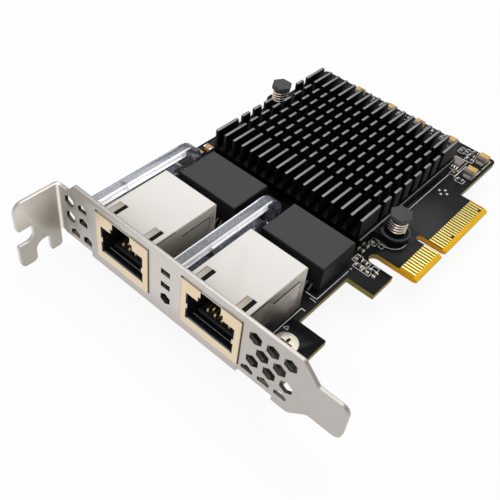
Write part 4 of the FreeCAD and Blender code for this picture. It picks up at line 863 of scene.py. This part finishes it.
# Centre and size
PRINTED_OUTLINES = (
    (54.5, 50.2, 1.9, 2.6), (57.0, 42.5, 2.5, 1.9), (54.9, 42.6, 1.7, 2.4), (56.6, 40.6, 2.5, 1.6),
    (56.7, 50.4, 1.2, 1.7), (59.9, 42.9, 1.6, 1.2),
    (18.2, 101.2, 1.8, 2.3), (20.3, 101.0, 2.3, 1.7), (23.2, 101.3, 1.8, 2.2),
    (29.2, 101.3, 1.8, 2.2), (31.6, 100.9, 2.4, 1.8), (39.2, 101.2, 1.8, 2.2),
    (41.4, 100.8, 2.4, 1.8), (44.4, 100.9, 1.8, 2.3), (51.3, 99.9, 1.7, 2.4),
    (52.9, 100.4, 1.6, 2.3), (54.9, 101.4, 2.4, 1.0), (54.7, 99.3, 2.4, 1.7),
    (54.9, 97.5, 2.4, 1.6), (54.7, 89.4, 1.8, 2.6), (57.6, 87.4, 2.4, 1.7),
    (53.2, 93.4, 3.9, 6.2), (58.8, 40.4, 2.4, 1.3), (1.7, 34.3, 1.6, 2.2),
)
# Centres of the bare pads beside the heatsink
BARE_PADS = ((55.7, 79.7), (56.8, 78.6), (56.9, 80.8), (58.0, 79.8))


def add_strip(work, start, end, width):
    """A thin flat strip of ink from start to end."""
    a = Vector(start)
    b = Vector(end)
    along = (b - a).normalized()
    side = Vector((-along.y, along.x)) * width / 2
    corners = (a - side, b - side, b + side, a + side)
    bottom = [work.verts.new(place(c.x, c.y, INK_LOW)) for c in corners]
    top = [work.verts.new(place(c.x, c.y, INK_HIGH)) for c in corners]
    work.faces.new(list(reversed(bottom)))
    work.faces.new(top)
    for i in range(4):
        j = (i + 1) % 4
        work.faces.new((bottom[i], bottom[j], top[j], top[i]))


def print_board():
    paths = list(PRINTED_LINES)
    paths += [(OUTLINE, frame_points(*outline)) for outline in PRINTED_OUTLINES]
    paths += [(PAD, [(x - PAD / 2, y), (x + PAD / 2, y)]) for x, y in BARE_PADS]
    work = bmesh.new()
    for width, points in paths:
        for start, end in zip(points, points[1:]):
            add_strip(work, start, end, width)
    ink = moulding("board_ink", (0.94, 0.94, 0.94), roughness=0.6, texture=0.1).done()
    piece = show("board_printing", mesh_from(work, "board_printing"), ink)
    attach(piece, "root")


print_board()


# Floor, light and camera

FLOOR_REACH = 3.0
FLOOR_TONE = 0.80
FLOOR_GLOW = 1.03
GLOW_SHARE = 0.88
SKY_LIGHT = 0.42


def ray_mask(nodes, links, *kinds):
    """One for rays of the named kinds."""
    path = nodes.new("ShaderNodeLightPath")
    mask = path.outputs[kinds[0]]
    for kind in kinds[1:]:
        either = nodes.new("ShaderNodeMath")
        either.operation = "MAXIMUM"
        links.new(mask, either.inputs[0])
        links.new(path.outputs[kind], either.inputs[1])
        mask = either.outputs[0]
    return mask


def shader(nodes, kind, color, strength=None):
    node = nodes.new(kind)
    node.inputs["Color"].default_value = (*color, 1)
    if strength is not None:
        node.inputs["Strength"].default_value = strength
    return node


def blend_shaders(nodes, links, factor, first, second, out):
    blend = nodes.new("ShaderNodeMixShader")
    links.new(factor, blend.inputs[0])
    links.new(first.outputs[0], blend.inputs[1])
    links.new(second.outputs[0], blend.inputs[2])
    links.new(blend.outputs[0], out.inputs[0])


def floor_look():
    """Pale floor that the camera sees lit evenly, with soft shadows left in."""
    material = bpy.data.materials.new("floor_white")
    material.use_nodes = True
    nodes = material.node_tree.nodes
    links = material.node_tree.links
    nodes.clear()
    share = nodes.new("ShaderNodeMath")
    share.operation = "MULTIPLY"
    share.inputs[1].default_value = GLOW_SHARE
    seen = ray_mask(nodes, links, "Is Camera Ray", "Is Transmission Ray", "Is Glossy Ray")
    links.new(seen, share.inputs[0])
    diffuse = shader(nodes, "ShaderNodeBsdfDiffuse", (FLOOR_TONE,) * 3)
    glow = shader(nodes, "ShaderNodeEmission", WHITE, FLOOR_GLOW)
    blend_shaders(nodes, links, share.outputs[0], diffuse, glow, nodes.new("ShaderNodeOutputMaterial"))
    return material


def make_floor():
    mesh = bpy.data.meshes.new("floor")
    corners = [(x * FLOOR_REACH, y * FLOOR_REACH, 0) for x, y in ((-1, -1), (1, -1), (1, 1), (-1, 1))]
    mesh.from_pydata(corners, [], [(0, 1, 2, 3)])
    show("floor", mesh, floor_look())


def make_world():
    """Soft light from all sides; a white background to the camera."""
    world = bpy.data.worlds.new("studio")
    bpy.context.scene.world = world
    world.use_nodes = True
    nodes = world.node_tree.nodes
    links = world.node_tree.links
    nodes.clear()
    light = shader(nodes, "ShaderNodeBackground", WHITE, SKY_LIGHT)
    white = shader(nodes, "ShaderNodeBackground", WHITE, 1.0)
    seen = ray_mask(nodes, links, "Is Camera Ray", "Is Transmission Ray")
    blend_shaders(nodes, links, seen, light, white, nodes.new("ShaderNodeOutputWorld"))


def area_lamp(name, spot, aim, size, power):
    data = bpy.data.lights.new(name, "AREA")
    data.shape = "SQUARE"
    data.size = size
    data.energy = power
    lamp = bpy.data.objects.new(name, data)
    bpy.context.scene.collection.objects.link(lamp)
    lamp.location = spot
    lamp.rotation_euler = (Vector(aim) - Vector(spot)).to_track_quat("-Z", "Y").to_euler()


# Camera that was fitted to the photo: its place in metres and its three directions
CAMERA_SPOT = (0.063365, -0.114025, 0.126298)
CAMERA_RIGHT = Vector((0.747556, 0.656896, 0.098223))
CAMERA_UP = Vector((-0.527356, 0.497107, 0.689043))
CAMERA_BACK = Vector((0.403802, -0.566896, 0.718034))
FOCAL_LENGTH_PIXELS = 707.883
PICTURE_PIXELS = 500.0
SENSOR_WIDTH = 36.0


def make_camera():
    data = bpy.data.cameras.new("camera")
    data.sensor_width = SENSOR_WIDTH
    data.lens = SENSOR_WIDTH * FOCAL_LENGTH_PIXELS / PICTURE_PIXELS
    data.clip_start = 0.01
    data.clip_end = 20.0
    camera = bpy.data.objects.new("camera", data)
    bpy.context.scene.collection.objects.link(camera)
    turn = Matrix((CAMERA_RIGHT, CAMERA_UP, CAMERA_BACK)).transposed().to_4x4()
    camera.matrix_world = Matrix.Translation(CAMERA_SPOT) @ turn
    bpy.context.scene.camera = camera


make_floor()
make_world()
area_lamp("key", spot=(-0.15, 0.25, 0.65), aim=(0, 0, 0), size=0.55, power=2.4)
area_lamp("front", spot=(0.10, -0.60, 0.35), aim=(0, 0, 0.01), size=0.45, power=1.1)
make_camera()
bpy.context.scene.view_settings.view_transform = "Standard"
